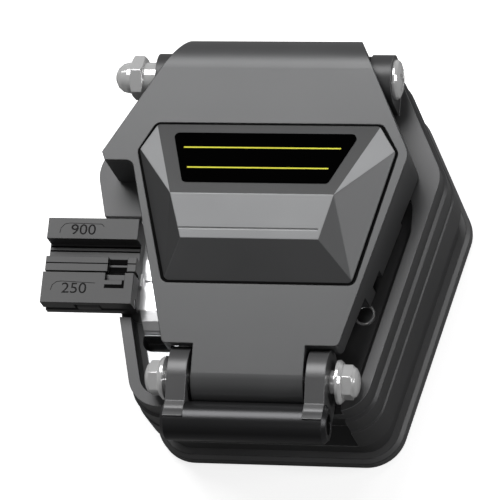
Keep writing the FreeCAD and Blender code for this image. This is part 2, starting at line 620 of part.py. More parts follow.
def make_blade():
    """Round blade with a bevelled rim, and its hub."""
    at = ("0", "blade_start", "blade_z")
    disc = turned("blade_disc", [
        ("blade_bore / 2", "-blade_thick / 2"), ("blade_dia / 2 - bevel_long", "-blade_thick / 2"),
        ("blade_dia / 2", "-edge_half"), ("blade_dia / 2", "edge_half"),
        ("blade_dia / 2 - bevel_long", "blade_thick / 2"), ("blade_bore / 2", "blade_thick / 2"),
    ], at, "X")
    hub = turned("blade_hub", [
        ("blade_bore / 2", "blade_thick / 2"), ("hub_dia / 2", "blade_thick / 2"),
        ("hub_dia / 2", "hub_out - screw_edge"), ("hub_dia / 2 - screw_edge", "hub_out"),
        ("blade_bore / 2", "hub_out"),
    ], at, "X")
    return [disc, hub]


# ---------------------------------------------------------------- lid

LID_OUTLINE = [
    ("lid_rear", "axle_y + lid_rear_round + 2 * fit"), ("-lid_rear", "axle_y + lid_rear_round + 2 * fit"),
    ("-horn_tip_x", "horn_tip_y"), ("-horn_front_x", "horn_front_y"), ("-neck_x", "horn_front_y"),
    ("-nose_left", "-nose_y"), ("nose_right", "-nose_y"), ("shoulder_x", "shoulder_y"),
]


def lid_turn():
    """Rotation from level to the slope of the lid top."""
    return Rotation(Vector(1, 0, 0), size("lid_tilt"))


def inner_prism():
    """Prism over the lid outline drawn in by the wall."""
    flat = doc.addObject("Sketcher::SketchObject", "lid_inner_flat")
    draw(flat, LID_OUTLINE)
    narrow = doc.addObject("Part::Offset2D", "lid_inner_outline")
    narrow.Source = flat
    narrow.Join = "Intersection"
    bind(narrow, Value="-lid_wall")
    made = doc.addObject("Part::Extrusion", "lid_inner_plan")
    made.Base = narrow
    made.DirMode = "Custom"
    made.Dir = Vector(0, 0, 1)
    made.Solid = True
    bind(made, LengthFwd="far")
    return made


def top_line(y, drop="0"):
    """Point of the side profile on the lid top, or below it by a drop."""
    return (y, f"lid_base + lid_fall * ({y}) - ({drop})")


def make_lid_shell():
    """Hollow lid without its fittings: outline and side profile, less the space inside."""
    plan = pad("lid_plan", "XY_Plane", LID_OUTLINE, "far")
    round_uprights(plan, [LID_OUTLINE[7]], "shoulder_round")
    round_uprights(plan, [LID_OUTLINE[4]], "neck_round")
    round_uprights(plan, [LID_OUTLINE[5], LID_OUTLINE[6]], "nose_round")
    side = pad("lid_side", "YZ_Plane", [
        ("-nose_y - past", "skirt_front"), ("-skirt_knee", "skirt_front"), ("-skirt_knee", "skirt_low"),
        ("skirt_heel", "skirt_low"), ("skirt_heel", "skirt_rear"), ("axle_y", "skirt_rear"),
        ("axle_y", "axle_z"),
        ("axle_y - lid_rear_round * sin(lid_tilt)", "axle_z + lid_rear_round * cos(lid_tilt)"),
        top_line("-nose_y - past"),
    ], "2 * far", both=True)
    rear = common(
        "lid_back",
        across("lid_back_round", "2 * lid_rear_round", "-far", "far", "axle_y", "axle_z"),
        box("lid_back_half", ("-far", "0", "skirt_rear"), ("far", "far", "far")),
    )
    inner_side = pad("lid_inner_side", "YZ_Plane", [
        ("-nose_y - past", "0"), ("axle_y", "0"), ("axle_y", "axle_z"),
        top_line("axle_y - 2 * past", "lid_plate"),
        top_line("-nose_y - past", "lid_plate"),
    ], "2 * far", both=True)
    inner_back = across("lid_inner_round", "2 * (lid_rear_round - lid_wall)",
                        "-far", "far", "axle_y", "axle_z")
    inner_low = box("lid_inner_low", ("-far", "axle_y - past", "0"),
                    ("far", "axle_y + lid_rear_round - lid_wall", "axle_z"))
    cavity = common("lid_cavity", inner_prism(), fuse("lid_inner", inner_side, inner_back, inner_low))
    return cut("lid_hollow", common("lid_outer", plan, fuse("lid_profile", side, rear)), cavity)


def make_lid():
    """Lid shell with its front tongue, hinge barrels, horn and bezel recess."""
    parts = [make_lid_shell()]
    for side, low, high in (("right", "barrel_in", "lug_in - barrel_gap"),
                            ("left", "barrel_gap - lug_in", "-barrel_in")):
        parts.append(across(f"barrel_{side}", "barrel_dia", low, high, "axle_y", "axle_z"))
        parts.append(box(f"barrel_web_{side}", (low, "axle_y - barrel_dia / 2", "axle_z"),
                         (high, "axle_y + barrel_dia / 4", "axle_z + lid_rear_round - lid_wall / 2")))
    parts.append(pad("tongue", "YZ_Plane", [
        ("-pivot_y", "pivot_z - knuckle_round"), ("lid_wall - nose_y", "pivot_z - knuckle_round"),
        top_line("lid_wall - nose_y"),
        ("-pivot_y - knuckle_round * sin(lid_tilt)", "pivot_z + knuckle_round * cos(lid_tilt)"),
    ], "2 * tongue_half", both=True))
    parts.append(across("tongue_round", "2 * knuckle_round", "-tongue_half", "tongue_half",
                        "-pivot_y", "pivot_z"))

    recess = pad("bezel_recess", "XY_Plane", bezel_plan("0"), "far", start="-bezel_sink")
    round_uprights(recess, bezel_plan("0"), "bezel_corner")
    tools = [place(recess, ("0", "0", "lid_base"), turn=lid_turn())]
    sides = (("right", "", "lug_in - barrel_gap", "far", "ear_in - ear_gap", "ear_out + ear_gap"),
             ("left", "-", "-far", "barrel_gap - lug_in", "-ear_out - ear_gap", "ear_gap - ear_in"))
    for side, sign, near, end, ear_low, ear_high in sides:
        tools.append(across(f"lug_relief_{side}", "lug_dia + past", near, end, "axle_y", "axle_z"))
        tools.append(box(f"lug_foot_relief_{side}", (near, "axle_y - lug_dia / 2 - past / 2", "0"),
                         (end, "far", "axle_z")))
        tools.append(across(f"ear_relief_{side}", "ear_dia + 2 * ear_gap", ear_low, ear_high,
                            "-pivot_y", "pivot_z"))
        tools.append(rod(f"guide_hole_{side}", "guide_dia", "far",
                         (f"{sign}guide_x", "-fibre_y", "ceiling + guide_sunk - far")))
    tools += [
        across("bush_bore", "bush_dia", "-far", "far", "axle_y", "axle_z"),
        across("pivot_bore", "pivot_dia", "-tongue_half - past", "tongue_half + past", "-pivot_y", "pivot_z"),
        box("fibre_way", ("-far", "-fibre_y - way_half", "0"),
            ("far", "way_half - fibre_y", "fibre_z + way_high")),
        rod("sleeve_hole", "sleeve_dia", "far", ("0", "-fibre_y", "ceiling + guide_sunk - far")),
    ]
    return cut("lid_shell", fuse("lid_solid", *parts), *tools)


def bezel_plan(inset):
    """Outline of the bezel recess, or of the bezel when drawn inward by an inset."""
    spots = [("rear_x", "bezel_rear_y", 1), ("rear_x", "bezel_rear_y", -1), ("side_x", "bezel_side_y", -1),
             ("front_x", "-bezel_front_y", -1), ("front_x", "-bezel_front_y", 1),
             ("side_x", "bezel_side_y", 1)]
    drawn = []
    for wide, y, side in spots:
        pull = {"rear_x": f" - ({inset})", "side_x": "", "front_x": f" + ({inset})"}[wide]
        drawn.append((f"bezel_x + ({side}) * (bezel_{wide} - ({inset}))", y + pull))
    return drawn


def bezel_points(side):
    """Corners of the facets on one side of the bezel, in the plane of the lid top."""
    return {
        "ridge": Vector(size("crest_x") + side * size("ridge_x"), size("ridge_y"), size("ridge_high")),
        "brow": Vector(size("crest_x") + side * size("brow_x"), size("-brow_y"), size("brow_high")),
        "front": Vector(size("bezel_x") + side * size("bezel_front_x - bezel_gap"), size("-face_front_y"),
                        size("face_front_high")),
        "side": Vector(size("bezel_x") + side * size("bezel_side_x - bezel_gap"), size("face_side_y"),
                       size("face_side_high")),
        "rear": Vector(size("bezel_x") + side * size("bezel_rear_x - bezel_gap"), size("face_rear_y"),
                       size("face_rear_high")),
    }


def above(first, second, third):
    """Large block of space above the plane through three points."""
    normal = (second - first).cross(third - first).normalize()
    if normal.z < 0:
        normal = -normal
    span = size("far")
    block = Part.makeBox(4 * span, 4 * span, 2 * span, Vector(-2 * span, -2 * span, 0))
    block.Placement = FreeCAD.Placement(first, Rotation(Vector(0, 0, 1), normal))
    return block


def shaped(name, shape):
    """Document object for a shape made with Part functions."""
    made = doc.addObject("Part::Feature", name)
    made.Shape = shape
    return made


def rounded_face(corners, radius):
    """Flat face over a closed row of corners, with each corner rounded."""
    flat = Part.Face(Part.makePolygon(corners + corners[:1]))
    return Part.Face(flat.makeOffset2D(-radius).makeOffset2D(radius).Wires[0])


def make_bezel():
    """Faceted bezel: sloping label face, ridge, brow, front facet and two facets on each side."""
    corners = [Vector(size(x), size(y), size("-bezel_sink")) for x, y in bezel_plan("bezel_gap")]
    solid = rounded_face(corners, size("bezel_corner - bezel_gap")).extrude(Vector(0, 0, size("far")))
    right, left = bezel_points(1), bezel_points(-1)
    planes = [
        (right["rear"], right["ridge"], left["ridge"]),
        (right["ridge"], right["brow"], left["brow"]),
        (right["brow"], right["front"], left["front"]),
    ]
    for p in (right, left):
        planes += [
            (p["ridge"], p["brow"], p["front"]),
            (p["ridge"], p["front"], p["side"]),
            (p["ridge"], p["side"], p["rear"]),
        ]
    for plane in planes:
        solid = solid.cut(above(*plane))
    share = size("line_share")
    start, end = [p["ridge"] + (p["brow"] - p["ridge"]) * share for p in (left, right)]
    line = Part.makeBox(
        (end - start).x - size("line_short"), size("line_wide"), size("far"),
        Vector(start.x, start.y - size("line_wide / 2"), start.z - size("line_deep")))
    return place(shaped("bezel", solid.cut(line)), ("0", "0", "lid_base"), turn=lid_turn())


def make_label():
    """Thin label plate on the sloping face of the bezel."""
    p = bezel_points(1)
    rise = (p["ridge"].z - p["rear"].z) / (p["ridge"].y - p["rear"].y)
    spots = [("label_rear_mid + label_rear_x", "label_rear_y"),
             ("label_rear_mid - label_rear_x", "label_rear_y"),
             ("label_front_mid - label_front_x", "label_front_y"),
             ("label_front_mid + label_front_x", "label_front_y")]
    corners = []
    for x, y in spots:
        corners.append(Vector(size(x), size(y), p["ridge"].z + rise * (size(y) - p["ridge"].y)))
    normal = Vector(0, -rise, 1).normalize()
    face = rounded_face(corners, size("label_corner"))
    label = shaped("label_plate", face.extrude(normal * size("label_thick")))
    return place(label, ("0", "0", "lid_base"), turn=lid_turn())


def make_lid_fittings():
    """Bushes, pivot spacers and screws, clamp guides and the anvil sleeve."""
    made = []
    for side, axis, sign in (("right", "X", ""), ("left", "-X", "-")):
        made.append(turned(f"bush_{side}", [
            ("axle_dia / 2 + pin_fit", "barrel_in - bush_gap"), ("bush_dia / 2", "barrel_in - bush_gap"),
            ("bush_dia / 2", "lug_in - bush_gap"), ("axle_dia / 2 + pin_fit", "lug_in - bush_gap"),
        ], ("0", "axle_y", "axle_z"), axis))
        pivot = ("0", "-pivot_y", "pivot_z")
        made.append(turned(f"pivot_spacer_{side}", [
            ("pivot_dia / 2 + fit", "ear_out"), ("spacer_dia / 2", "ear_out"),
            ("spacer_dia / 2", "washer_foot"), ("pivot_dia / 2 + fit", "washer_foot"),
        ], pivot, axis))
        shank = turned(f"pivot_shank_{side}", [
            ("0", "tongue_half - shank_in"), ("pivot_dia / 2", "tongue_half - shank_in"),
            ("pivot_dia / 2", "washer_foot"), ("washer_dia / 2", "washer_foot"),
            ("washer_dia / 2", "washer_foot + washer_thick - washer_edge"),
            ("washer_dia / 2 - washer_edge", "washer_foot + washer_thick"),
            ("0", "washer_foot + washer_thick"),
        ], pivot, axis)
        foot = (f"{sign}(washer_foot + washer_thick - 2 * fit)", "-pivot_y", "pivot_z")
        faced = turned(f"pivot_chamfer_{side}", [
            ("0", "0"), ("head_flats / 2 + hex_edge", "0"), ("head_flats / 2 + hex_edge", "head_edge"),
            *dome("head_flats / 2", "head_edge + hex_edge / 2", "head_high - head_edge - hex_edge / 2"),
        ], foot, axis)
        block = hexagon(f"pivot_hexagon_{side}", "head_flats", "head_high", foot, axis)
        made.append(fuse(f"pivot_screw_{side}", shank, common(f"pivot_head_{side}", block, faced)))
    guides = []
    for index, sign in enumerate(("", "-")):
        shank_top = "ceiling + guide_sunk - bar_low - head_fit"
        guides.append(turned(f"clamp_guide_{index}", [
            ("0", "0"), ("guide_head / 2", "0"), ("guide_head / 2", "guide_head_high"),
            ("guide_dia / 2", "guide_head_high"), ("guide_dia / 2", shank_top), ("0", shank_top),
        ], (f"{sign}guide_x", "-fibre_y", "bar_low + head_fit")))
    made.append(group("clamp_guides", *guides))
    made.append(turned("anvil_sleeve", [
        ("stem_dia / 2 + pin_fit", "guide_sunk"), ("stem_dia / 2 + pin_fit", "-sleeve_long"),
        ("sleeve_dia / 2", "-sleeve_long"), ("sleeve_dia / 2", "guide_sunk"),
    ], ("0", "-fibre_y", "ceiling")))
    return made


# ---------------------------------------------------------------- clamp and anvil in the lid

def coil(name, low, high, x):
    """Wire wound between two heights over the fibre line, with a section of eight flats."""
    half, round_by = size("wire / 2"), size("coil_dia / 2")
    rise = size(f"{high} - ({low})") - 2 * half
    helix = Part.makeHelix(rise / size("coil_turns"), rise, round_by)
    flats = [Rotation(Vector(0, 1, 0), 360 * step / 8).multVec(Vector(half, 0, 0)) for step in range(8)]
    section = Part.makePolygon([Vector(round_by, 0, 0) + corner for corner in flats + flats[:1]])
    spring = Part.Wire(helix).makePipeShell([section], True, True)
    spring.translate(Vector(size(x), size("-fibre_y"), size(low) + half))
    return shaped(name, spring)


def make_clamp():
    """Upper clamp bar on its guides, its two rubber pads and springs."""
    blank = box("bar_blank", ("-clamp_out", "-fibre_y - clamp_half", "bar_low"),
                ("clamp_out", "clamp_half - fibre_y", "bar_top"))
    tools = [box("bar_window_cut", ("-bar_window", "-fibre_y - bar_window", "0"),
                 ("bar_window", "bar_window - fibre_y", "far"))]
    pads = []
    for side, sign in (("right", ""), ("left", "-")):
        tools.append(rod(f"guide_bore_{side}", "guide_dia + 2 * pin_fit", "far",
                         (f"{sign}guide_x", "-fibre_y", "bar_low - past")))
        tools.append(rod(f"guide_sink_{side}", "guide_head + 2 * head_fit",
                         "past + head_fit + guide_head_high",
                         (f"{sign}guide_x", "-fibre_y", "bar_low - past")))
        low, high = "clamp_in + pad_inset", "clamp_out - pad_inset"
        ends = (low, high) if sign == "" else (f"-({high})", f"-({low})")
        pads.append(box(f"upper_pad_{side}", (ends[0], "-(fibre_y + clamp_half - pad_inset)", "grip_z"),
                        (ends[1], "-(fibre_y - clamp_half + pad_inset)", "bar_low")))
    springs = [coil("clamp_coil_right", "bar_top", "ceiling", "guide_x"),
               coil("clamp_coil_left", "bar_top", "ceiling", "-guide_x")]
    return [cut("clamp_bar", blank, *tools), *pads, group("clamp_springs", *springs)]


def make_anvil():
    """Anvil over the fibre with its tip, stem and spring."""
    block = fuse(
        "anvil_block",
        box("anvil_body", ("-anvil_half", "-(fibre_y + anvil_deep)", "anvil_low"),
            ("anvil_half", "-(fibre_y - anvil_deep)", "anvil_top")),
        rod("anvil_stem", "stem_dia", "stem_long + past", ("0", "-fibre_y", "anvil_top - past")),
    )
    tip = pad("anvil_tip_pad", "YZ_Plane", [
        ("-fibre_y - anvil_deep / 2", "tip_low"), ("anvil_deep / 2 - fibre_y", "tip_low"),
        ("anvil_deep - fibre_y", "anvil_low"), ("-fibre_y - anvil_deep", "anvil_low"),
    ], "2 * anvil_half", both=True)
    return [block, tip, coil("anvil_spring", "anvil_top", "ceiling", "0")]


# ---------------------------------------------------------------- handle

def make_handle():
    """Yoke with two ears joined under the grip tube, and the tube."""
    ears = []
    for side, low, high in (("right", "ear_in", "ear_out"), ("left", "-ear_out", "-ear_in")):
        ears.append(across(f"ear_{side}_round", "ear_dia", low, high, "-pivot_y", "pivot_z"))
        arm = pad(f"ear_{side}_arm", "YZ_Plane", [
            ("-pivot_y - ear_round * cos(ear_top_turn)", "pivot_z + ear_round * sin(ear_top_turn)"),
            ("-pivot_y - arm_knee", "pivot_z + arm_knee_high"),
            ("-tube_y - 2 * fit", "tube_z + tube_round + arm_over"),
            ("-tube_y - arm_nose", "tube_z"),
            ("-tube_y - arm_toe", "tube_z - tube_round - arm_under"),
            ("-tube_y + arm_heel", "tube_z - tube_round - arm_deep"),
            ("-pivot_y - ear_round * cos(ear_foot_turn)", "pivot_z - ear_round * sin(ear_foot_turn)"),
        ], "ear_wide")
        ears.append(place(arm, (low, "0", "0")))
    web = pad("ear_web", "YZ_Plane", [
        ("-pivot_y - web_near", "pivot_z - web_top"), ("-pivot_y - web_near", "pivot_z - web_low"),
        ("-pivot_y - web_mid", "pivot_z - web_deep"), ("-tube_y - web_toe", "pivot_z - web_low"),
        ("-tube_y", "tube_z"),
    ], "2 * ear_in + past", both=True)
    yoke = cut(
        "handle_yoke", fuse("yoke_solid", *ears, web),
        across("yoke_bore", "pivot_dia + 2 * pin_fit", "-far", "far", "-pivot_y", "pivot_z"),
        across("yoke_saddle", "tube_dia", "-far", "far", "-tube_y", "tube_z"),
    )
    tube = turned("grip_tube", [
        ("tube_bore / 2", "-tube_half"), ("tube_round - tube_edge", "-tube_half"),
        ("tube_round", "tube_edge - tube_half"), ("tube_round", "tube_half - tube_edge"),
        ("tube_round - tube_edge", "tube_half"), ("tube_bore / 2", "tube_half"),
    ], ("0", "-tube_y", "tube_z"), "X")
    return [yoke, tube]


# ---------------------------------------------------------------- fibre holder

def make_holder():
    """Sliding fibre holder: stepped base, hinged flap and its pin."""
    left, right = "-(holder_right + holder_long)", "-holder_right"
    step = "-ridge_front - groove_wide"
    base = pad("holder_blank", "YZ_Plane", [
        ("holder_rear", "platform_top"), ("holder_rear", "holder_top"),
        ("holder_rear - ledge_wide", "holder_top"),
        ("holder_rear - ledge_wide", "channel_z"), ("-ridge_rear", "channel_z"), ("-ridge_rear", "ridge_top"),
        ("-ridge_front", "ridge_top"), ("-ridge_front", "fibre_z - groove_floor"),
        (step, "fibre_z - groove_floor"), (step, "flap_low - flap_gap"),
        ("-holder_front", "flap_low - flap_gap"), ("-holder_front", "platform_top"),
    ], "holder_long")
    place(base, (left, "0", "0"))
    inner, outer = "knuckle_long / 2 - holder_mid", "-knuckle_long / 2 - holder_mid"
    hinge = ("flap_pin_y", "flap_pin_z")
    knuckle = fuse(
        "holder_knuckle",
        across("knuckle_barrel", "knuckle_dia", outer, inner, *hinge),
        box("knuckle_foot", (outer, "flap_pin_y - knuckle_dia / 2", "flap_low - flap_gap - past / 2"),
            (inner, "flap_pin_y + knuckle_dia / 2", "flap_pin_z")),
    )
    holder = cut(
        "holder_base", fuse("holder_solid", base, knuckle),
        box("key_slot", ("-far", "-fibre_y - key_wide / 2 - slide_fit", "platform_top - past"),
            ("0", "key_wide / 2 + slide_fit - fibre_y", "platform_top + key_high + slide_fit")),
        box("ridge_pocket", ("-pocket_left", "-ridge_front - past", "ridge_top - pocket_deep"),
            ("-pocket_right", "past - ridge_rear", "far")),
        across("knuckle_bore", "flap_pin_dia", "-far", "0", *hinge),
    )
    plate = fuse(
        "flap_solid",
        box("flap_body", (left, "flap_pin_y", "flap_low"), (right, "-flap_rear", "holder_top")),
        box("flap_front", (left, "-holder_front", "flap_pin_z"), (right, "flap_pin_y + fit", "holder_top")),
        across("flap_round", "knuckle_dia", left, right, *hinge),
    )
    flap = cut(
        "holder_flap", plate,
        across("flap_bore", "flap_pin_dia + 2 * pin_fit", "-far", "0", *hinge),
        across("flap_gap_mid", "knuckle_room", f"{outer} - 3 * fit", f"{inner} + 3 * fit", *hinge),
        box("flap_pocket", ("-pocket_left", "-flap_rear - pocket_long", "holder_top - pocket_deep"),
            ("-pocket_right", "past - flap_rear", "far")),
    )
    return [holder, flap, across("flap_pin", "flap_pin_dia", f"{left} + fit", f"{right} - fit", *hinge)]


# ---------------------------------------------------------------- build and write

pieces = [
    make_base_plate(), make_mat(), make_casting(), make_floor_plate(), make_platform(),
    base_screws("base_screws", "0", "0"), *make_lower_clamps(), *make_rail(), *make_magnet(), *make_axle(),
    *make_carriage(), *make_blade(), make_lid(), make_bezel(), make_label(), *make_lid_fittings(),
    *make_clamp(), *make_anvil(), *make_handle(), *make_holder(),
]
doc.recompute()

for item in doc.Objects:
    if "Invalid" in item.State or "Error" in item.State:
        raise RuntimeError(f"{item.Name}: {item.State}")

os.makedirs("parts", exist_ok=True)
for piece in pieces:
    piece.Label = piece.Name
    if piece.Shape.isNull() or not piece.Shape.isValid():
        raise RuntimeError(f"{piece.Name} has no valid shape")
    piece.Shape.exportStep(f"parts/{piece.Name}.step")
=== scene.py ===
"""Looks of a desktop optical fibre cleaver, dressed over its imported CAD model.

Units are metres in the frame of the model: +Z up, +Y towards the lid hinge, X across.
"""

import logging
import math
from dataclasses import dataclass
from enum import Enum
from typing import Sequence

import bmesh
import bpy
from mathutils import Matrix, Vector


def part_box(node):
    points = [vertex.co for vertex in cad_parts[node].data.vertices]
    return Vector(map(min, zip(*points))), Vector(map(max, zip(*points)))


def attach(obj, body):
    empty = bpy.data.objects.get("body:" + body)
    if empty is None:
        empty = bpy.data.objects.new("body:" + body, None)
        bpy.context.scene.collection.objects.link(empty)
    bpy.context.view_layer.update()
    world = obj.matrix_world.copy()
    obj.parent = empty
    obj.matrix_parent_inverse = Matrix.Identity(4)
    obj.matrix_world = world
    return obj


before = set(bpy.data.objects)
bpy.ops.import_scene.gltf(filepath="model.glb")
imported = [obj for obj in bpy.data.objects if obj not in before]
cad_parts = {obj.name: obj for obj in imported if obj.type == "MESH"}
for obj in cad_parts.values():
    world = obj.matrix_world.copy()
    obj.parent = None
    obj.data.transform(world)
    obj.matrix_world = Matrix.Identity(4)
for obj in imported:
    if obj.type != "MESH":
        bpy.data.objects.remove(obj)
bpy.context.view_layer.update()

LOG = logging.getLogger("cleaver")
MM = 0.001
LID_BASE = 42.8 * MM
LID_FALL = 0.08
FACET_BLEND = 0.06 * MM
BUMP_DEPTH = 0.05 * MM
CLOUD_LOW, CLOUD_HIGH = 0.3, 0.7
ROUGH_SWING = 0.15
MERGE_GAP = 1e-7
# Near-black mixed in along sharp edges of the lid, holder and flange: painted edge shade that draws dark
# outlines.
EDGE_SHADE_BLACK = (0.004, 0.004, 0.004)


class Body(Enum):
    """Bodies of the model that pieces ride on."""

    BASE = "base"
    LID = "lid"
    HOLDER = "holder"
    FLAP = "flap"
    HANDLE = "handle"


# ---------------------------------------------------------------- shared shader groups


def new_group(name: str, inputs: Sequence[tuple[str, str, float]], outputs: Sequence[tuple[str, str]]):
    """Starts a shader node group with named sockets.

    Args:
        name: Name of the group.
        inputs: Name, socket type and default of each input.
        outputs: Name and socket type of each output.

    Returns:
        The group, its input node and its output node.
    """
    group = bpy.data.node_groups.new(name, "ShaderNodeTree")
    for label, kind, start in inputs:
        socket = group.interface.new_socket(label, in_out="INPUT", socket_type=kind)
        socket.default_value = start
    for label, kind in outputs:
        group.interface.new_socket(label, in_out="OUTPUT", socket_type=kind)
    entry = group.nodes.new("NodeGroupInput")
    leave = group.nodes.new("NodeGroupOutput")
    return group, entry, leave


def add_node(tree: bpy.types.NodeTree, kind: str, **values: object) -> bpy.types.Node:
    """Adds a node and sets its properties and sockets.

    Args:
        tree: Tree that gets the node.
        kind: Blender's name of the node type.
        **values: Properties of the node, or values of its input sockets with spaces as underscores.

    Returns:
        The new node.
    """
    node = tree.nodes.new(kind)
    for key, value in values.items():
        label = key.replace("_", " ")
        if hasattr(node, key):
            setattr(node, key, value)
        else:
            node.inputs[label].default_value = value
    return node


def grain_group() -> bpy.types.NodeTree:
    """Builds the group that gives fine grain and slow cloudiness.

    Returns:
        The node group.
    """
    group, entry, leave = new_group(
        "surface_grain",
        [("Fine Scale", "NodeSocketFloat", 4000.0), ("Cloud Scale", "NodeSocketFloat", 60.0)],
        [("Height", "NodeSocketFloat"), ("Cloud", "NodeSocketFloat")],
    )
    place = add_node(group, "ShaderNodeTexCoord")
    fine = add_node(group, "ShaderNodeTexNoise", Detail=3.0, Roughness=0.6)
    cloud = add_node(group, "ShaderNodeTexNoise", Detail=2.0, Roughness=0.5)
    links = group.links
    links.new(place.outputs["Object"], fine.inputs["Vector"])
    links.new(place.outputs["Object"], cloud.inputs["Vector"])
    links.new(entry.outputs["Fine Scale"], fine.inputs["Scale"])
    links.new(entry.outputs["Cloud Scale"], cloud.inputs["Scale"])
    links.new(fine.outputs["Fac"], leave.inputs["Height"])
    links.new(cloud.outputs["Fac"], leave.inputs["Cloud"])
    return group


def brush_group() -> bpy.types.NodeTree:
    """Builds the group that gives fine lines left by grinding or turning, along X.

    Returns:
        The node group.
    """
    group, entry, leave = new_group(
        "tool_lines",
        [("Scale", "NodeSocketFloat", 3000.0), ("Stretch", "NodeSocketFloat", 0.02)],
        [("Height", "NodeSocketFloat")],
    )
    place = add_node(group, "ShaderNodeTexCoord")
    stretch = add_node(group, "ShaderNodeCombineXYZ", Y=1.0, Z=1.0)
    scaled = add_node(group, "ShaderNodeVectorMath", operation="MULTIPLY")
    noise = add_node(group, "ShaderNodeTexNoise", Detail=4.0, Roughness=0.65)
    links = group.links
    links.new(entry.outputs["Stretch"], stretch.inputs["X"])
    links.new(place.outputs["Object"], scaled.inputs[0])
    links.new(stretch.outputs[0], scaled.inputs[1])
    links.new(scaled.outputs[0], noise.inputs["Vector"])
    links.new(entry.outputs["Scale"], noise.inputs["Scale"])
    links.new(noise.outputs["Fac"], leave.inputs["Height"])
    return group


def edge_wear_and_light_group() -> bpy.types.NodeTree:
    """Builds the group that finds the sharp edges of a solid and breaks the band up with noise; finishes
    use its mask for worn edges and for painted edge highlight and painted edge shade.

    Returns:
        The node group.
    """
    group, entry, leave = new_group(
        "edge_wear_and_light",
        [("Width", "NodeSocketFloat", 0.0003), ("Gain", "NodeSocketFloat", 6.0)],
        [("Mask", "NodeSocketFloat"), ("Round Normal", "NodeSocketVector")],
    )
    bevel = add_node(group, "ShaderNodeBevel", samples=6)
    flat = add_node(group, "ShaderNodeNewGeometry")
    dot = add_node(group, "ShaderNodeVectorMath", operation="DOT_PRODUCT")
    turn = add_node(group, "ShaderNodeMath", operation="SUBTRACT")
    turn.inputs[0].default_value = 1.0
    gain = add_node(group, "ShaderNodeMath", operation="MULTIPLY")
    place = add_node(group, "ShaderNodeTexCoord")
    noise = add_node(group, "ShaderNodeTexNoise", Scale=900.0, Detail=3.0)
    broken = add_node(group, "ShaderNodeMath", operation="MULTIPLY", use_clamp=True)
    links = group.links
    links.new(entry.outputs["Width"], bevel.inputs["Radius"])
    links.new(bevel.outputs["Normal"], dot.inputs[0])
    links.new(flat.outputs["True Normal"], dot.inputs[1])
    links.new(dot.outputs["Value"], turn.inputs[1])
    links.new(turn.outputs[0], gain.inputs[0])
    links.new(entry.outputs["Gain"], gain.inputs[1])
    links.new(place.outputs["Object"], noise.inputs["Vector"])
    links.new(gain.outputs[0], broken.inputs[0])
    links.new(noise.outputs["Fac"], broken.inputs[1])
    links.new(broken.outputs[0], leave.inputs["Mask"])
    links.new(bevel.outputs["Normal"], leave.inputs["Round Normal"])
    return group


def side_group() -> bpy.types.NodeTree:
    """Builds the group that tells on which side of an upright plane a point of the lid lies.

    Returns:
        The node group.
    """
    group, entry, leave = new_group(
        "plane_side",
        [("Across", "NodeSocketVector", (1.0, 0.0, 0.0)), ("Offset", "NodeSocketFloat", 0.0)],
        [("Mask", "NodeSocketFloat")],
    )
    place = add_node(group, "ShaderNodeTexCoord")
    level = add_node(group, "ShaderNodeMapping", vector_type="TEXTURE")
    level.inputs["Location"].default_value = (0, 0, LID_BASE)
    level.inputs["Rotation"].default_value = (math.atan(LID_FALL), 0, 0)
    reach = add_node(group, "ShaderNodeVectorMath", operation="DOT_PRODUCT")
    past = add_node(group, "ShaderNodeMath", operation="SUBTRACT")
    sharp = add_node(group, "ShaderNodeMath", operation="MULTIPLY_ADD", use_clamp=True)
    sharp.inputs[1].default_value = 1 / FACET_BLEND
    sharp.inputs[2].default_value = 0.5
    links = group.links
    links.new(place.outputs["Object"], level.inputs["Vector"])
    links.new(level.outputs[0], reach.inputs[0])
    links.new(entry.outputs["Across"], reach.inputs[1])
    links.new(reach.outputs["Value"], past.inputs[0])
    links.new(entry.outputs["Offset"], past.inputs[1])
    links.new(past.outputs[0], sharp.inputs[0])
    links.new(sharp.outputs[0], leave.inputs["Mask"])
    return group


class Grain(Enum):
    """Kinds of surface texture."""

    SPRAYED = "sprayed"
    LINES = "lines"


@dataclass(frozen=True)
class Facet:
    """Region of the bezel, on the left of every edge that bounds it, with its own painted light and shade:
    the paint there is scaled by the gain.
    """

    edges: tuple[tuple[tuple[float, float], tuple[float, float]], ...]
    gain: float

    def mask(self, tree: bpy.types.NodeTree) -> bpy.types.NodeSocket:
        """Adds the nodes that mark the region.

        Args:
            tree: The material's tree.

        Returns:
            Socket that is one inside the region and zero outside.
        """
        result = None
        for (x_start, y_start), (x_end, y_end) in self.edges:
            along = Vector((x_end - x_start, y_end - y_start, 0)).normalized()
            inward = Vector((-along.y, along.x, 0))
            side = Finish.place_group(tree, "plane_side", Across=inward,
                                      Offset=inward.x * x_start * MM + inward.y * y_start * MM)
            if result is None:
                result = side.outputs["Mask"]
                continue
            both = add_node(tree, "ShaderNodeMath", operation="MULTIPLY")
            tree.links.new(result, both.inputs[0])
            tree.links.new(side.outputs["Mask"], both.inputs[1])
            result = both.outputs[0]
        return result


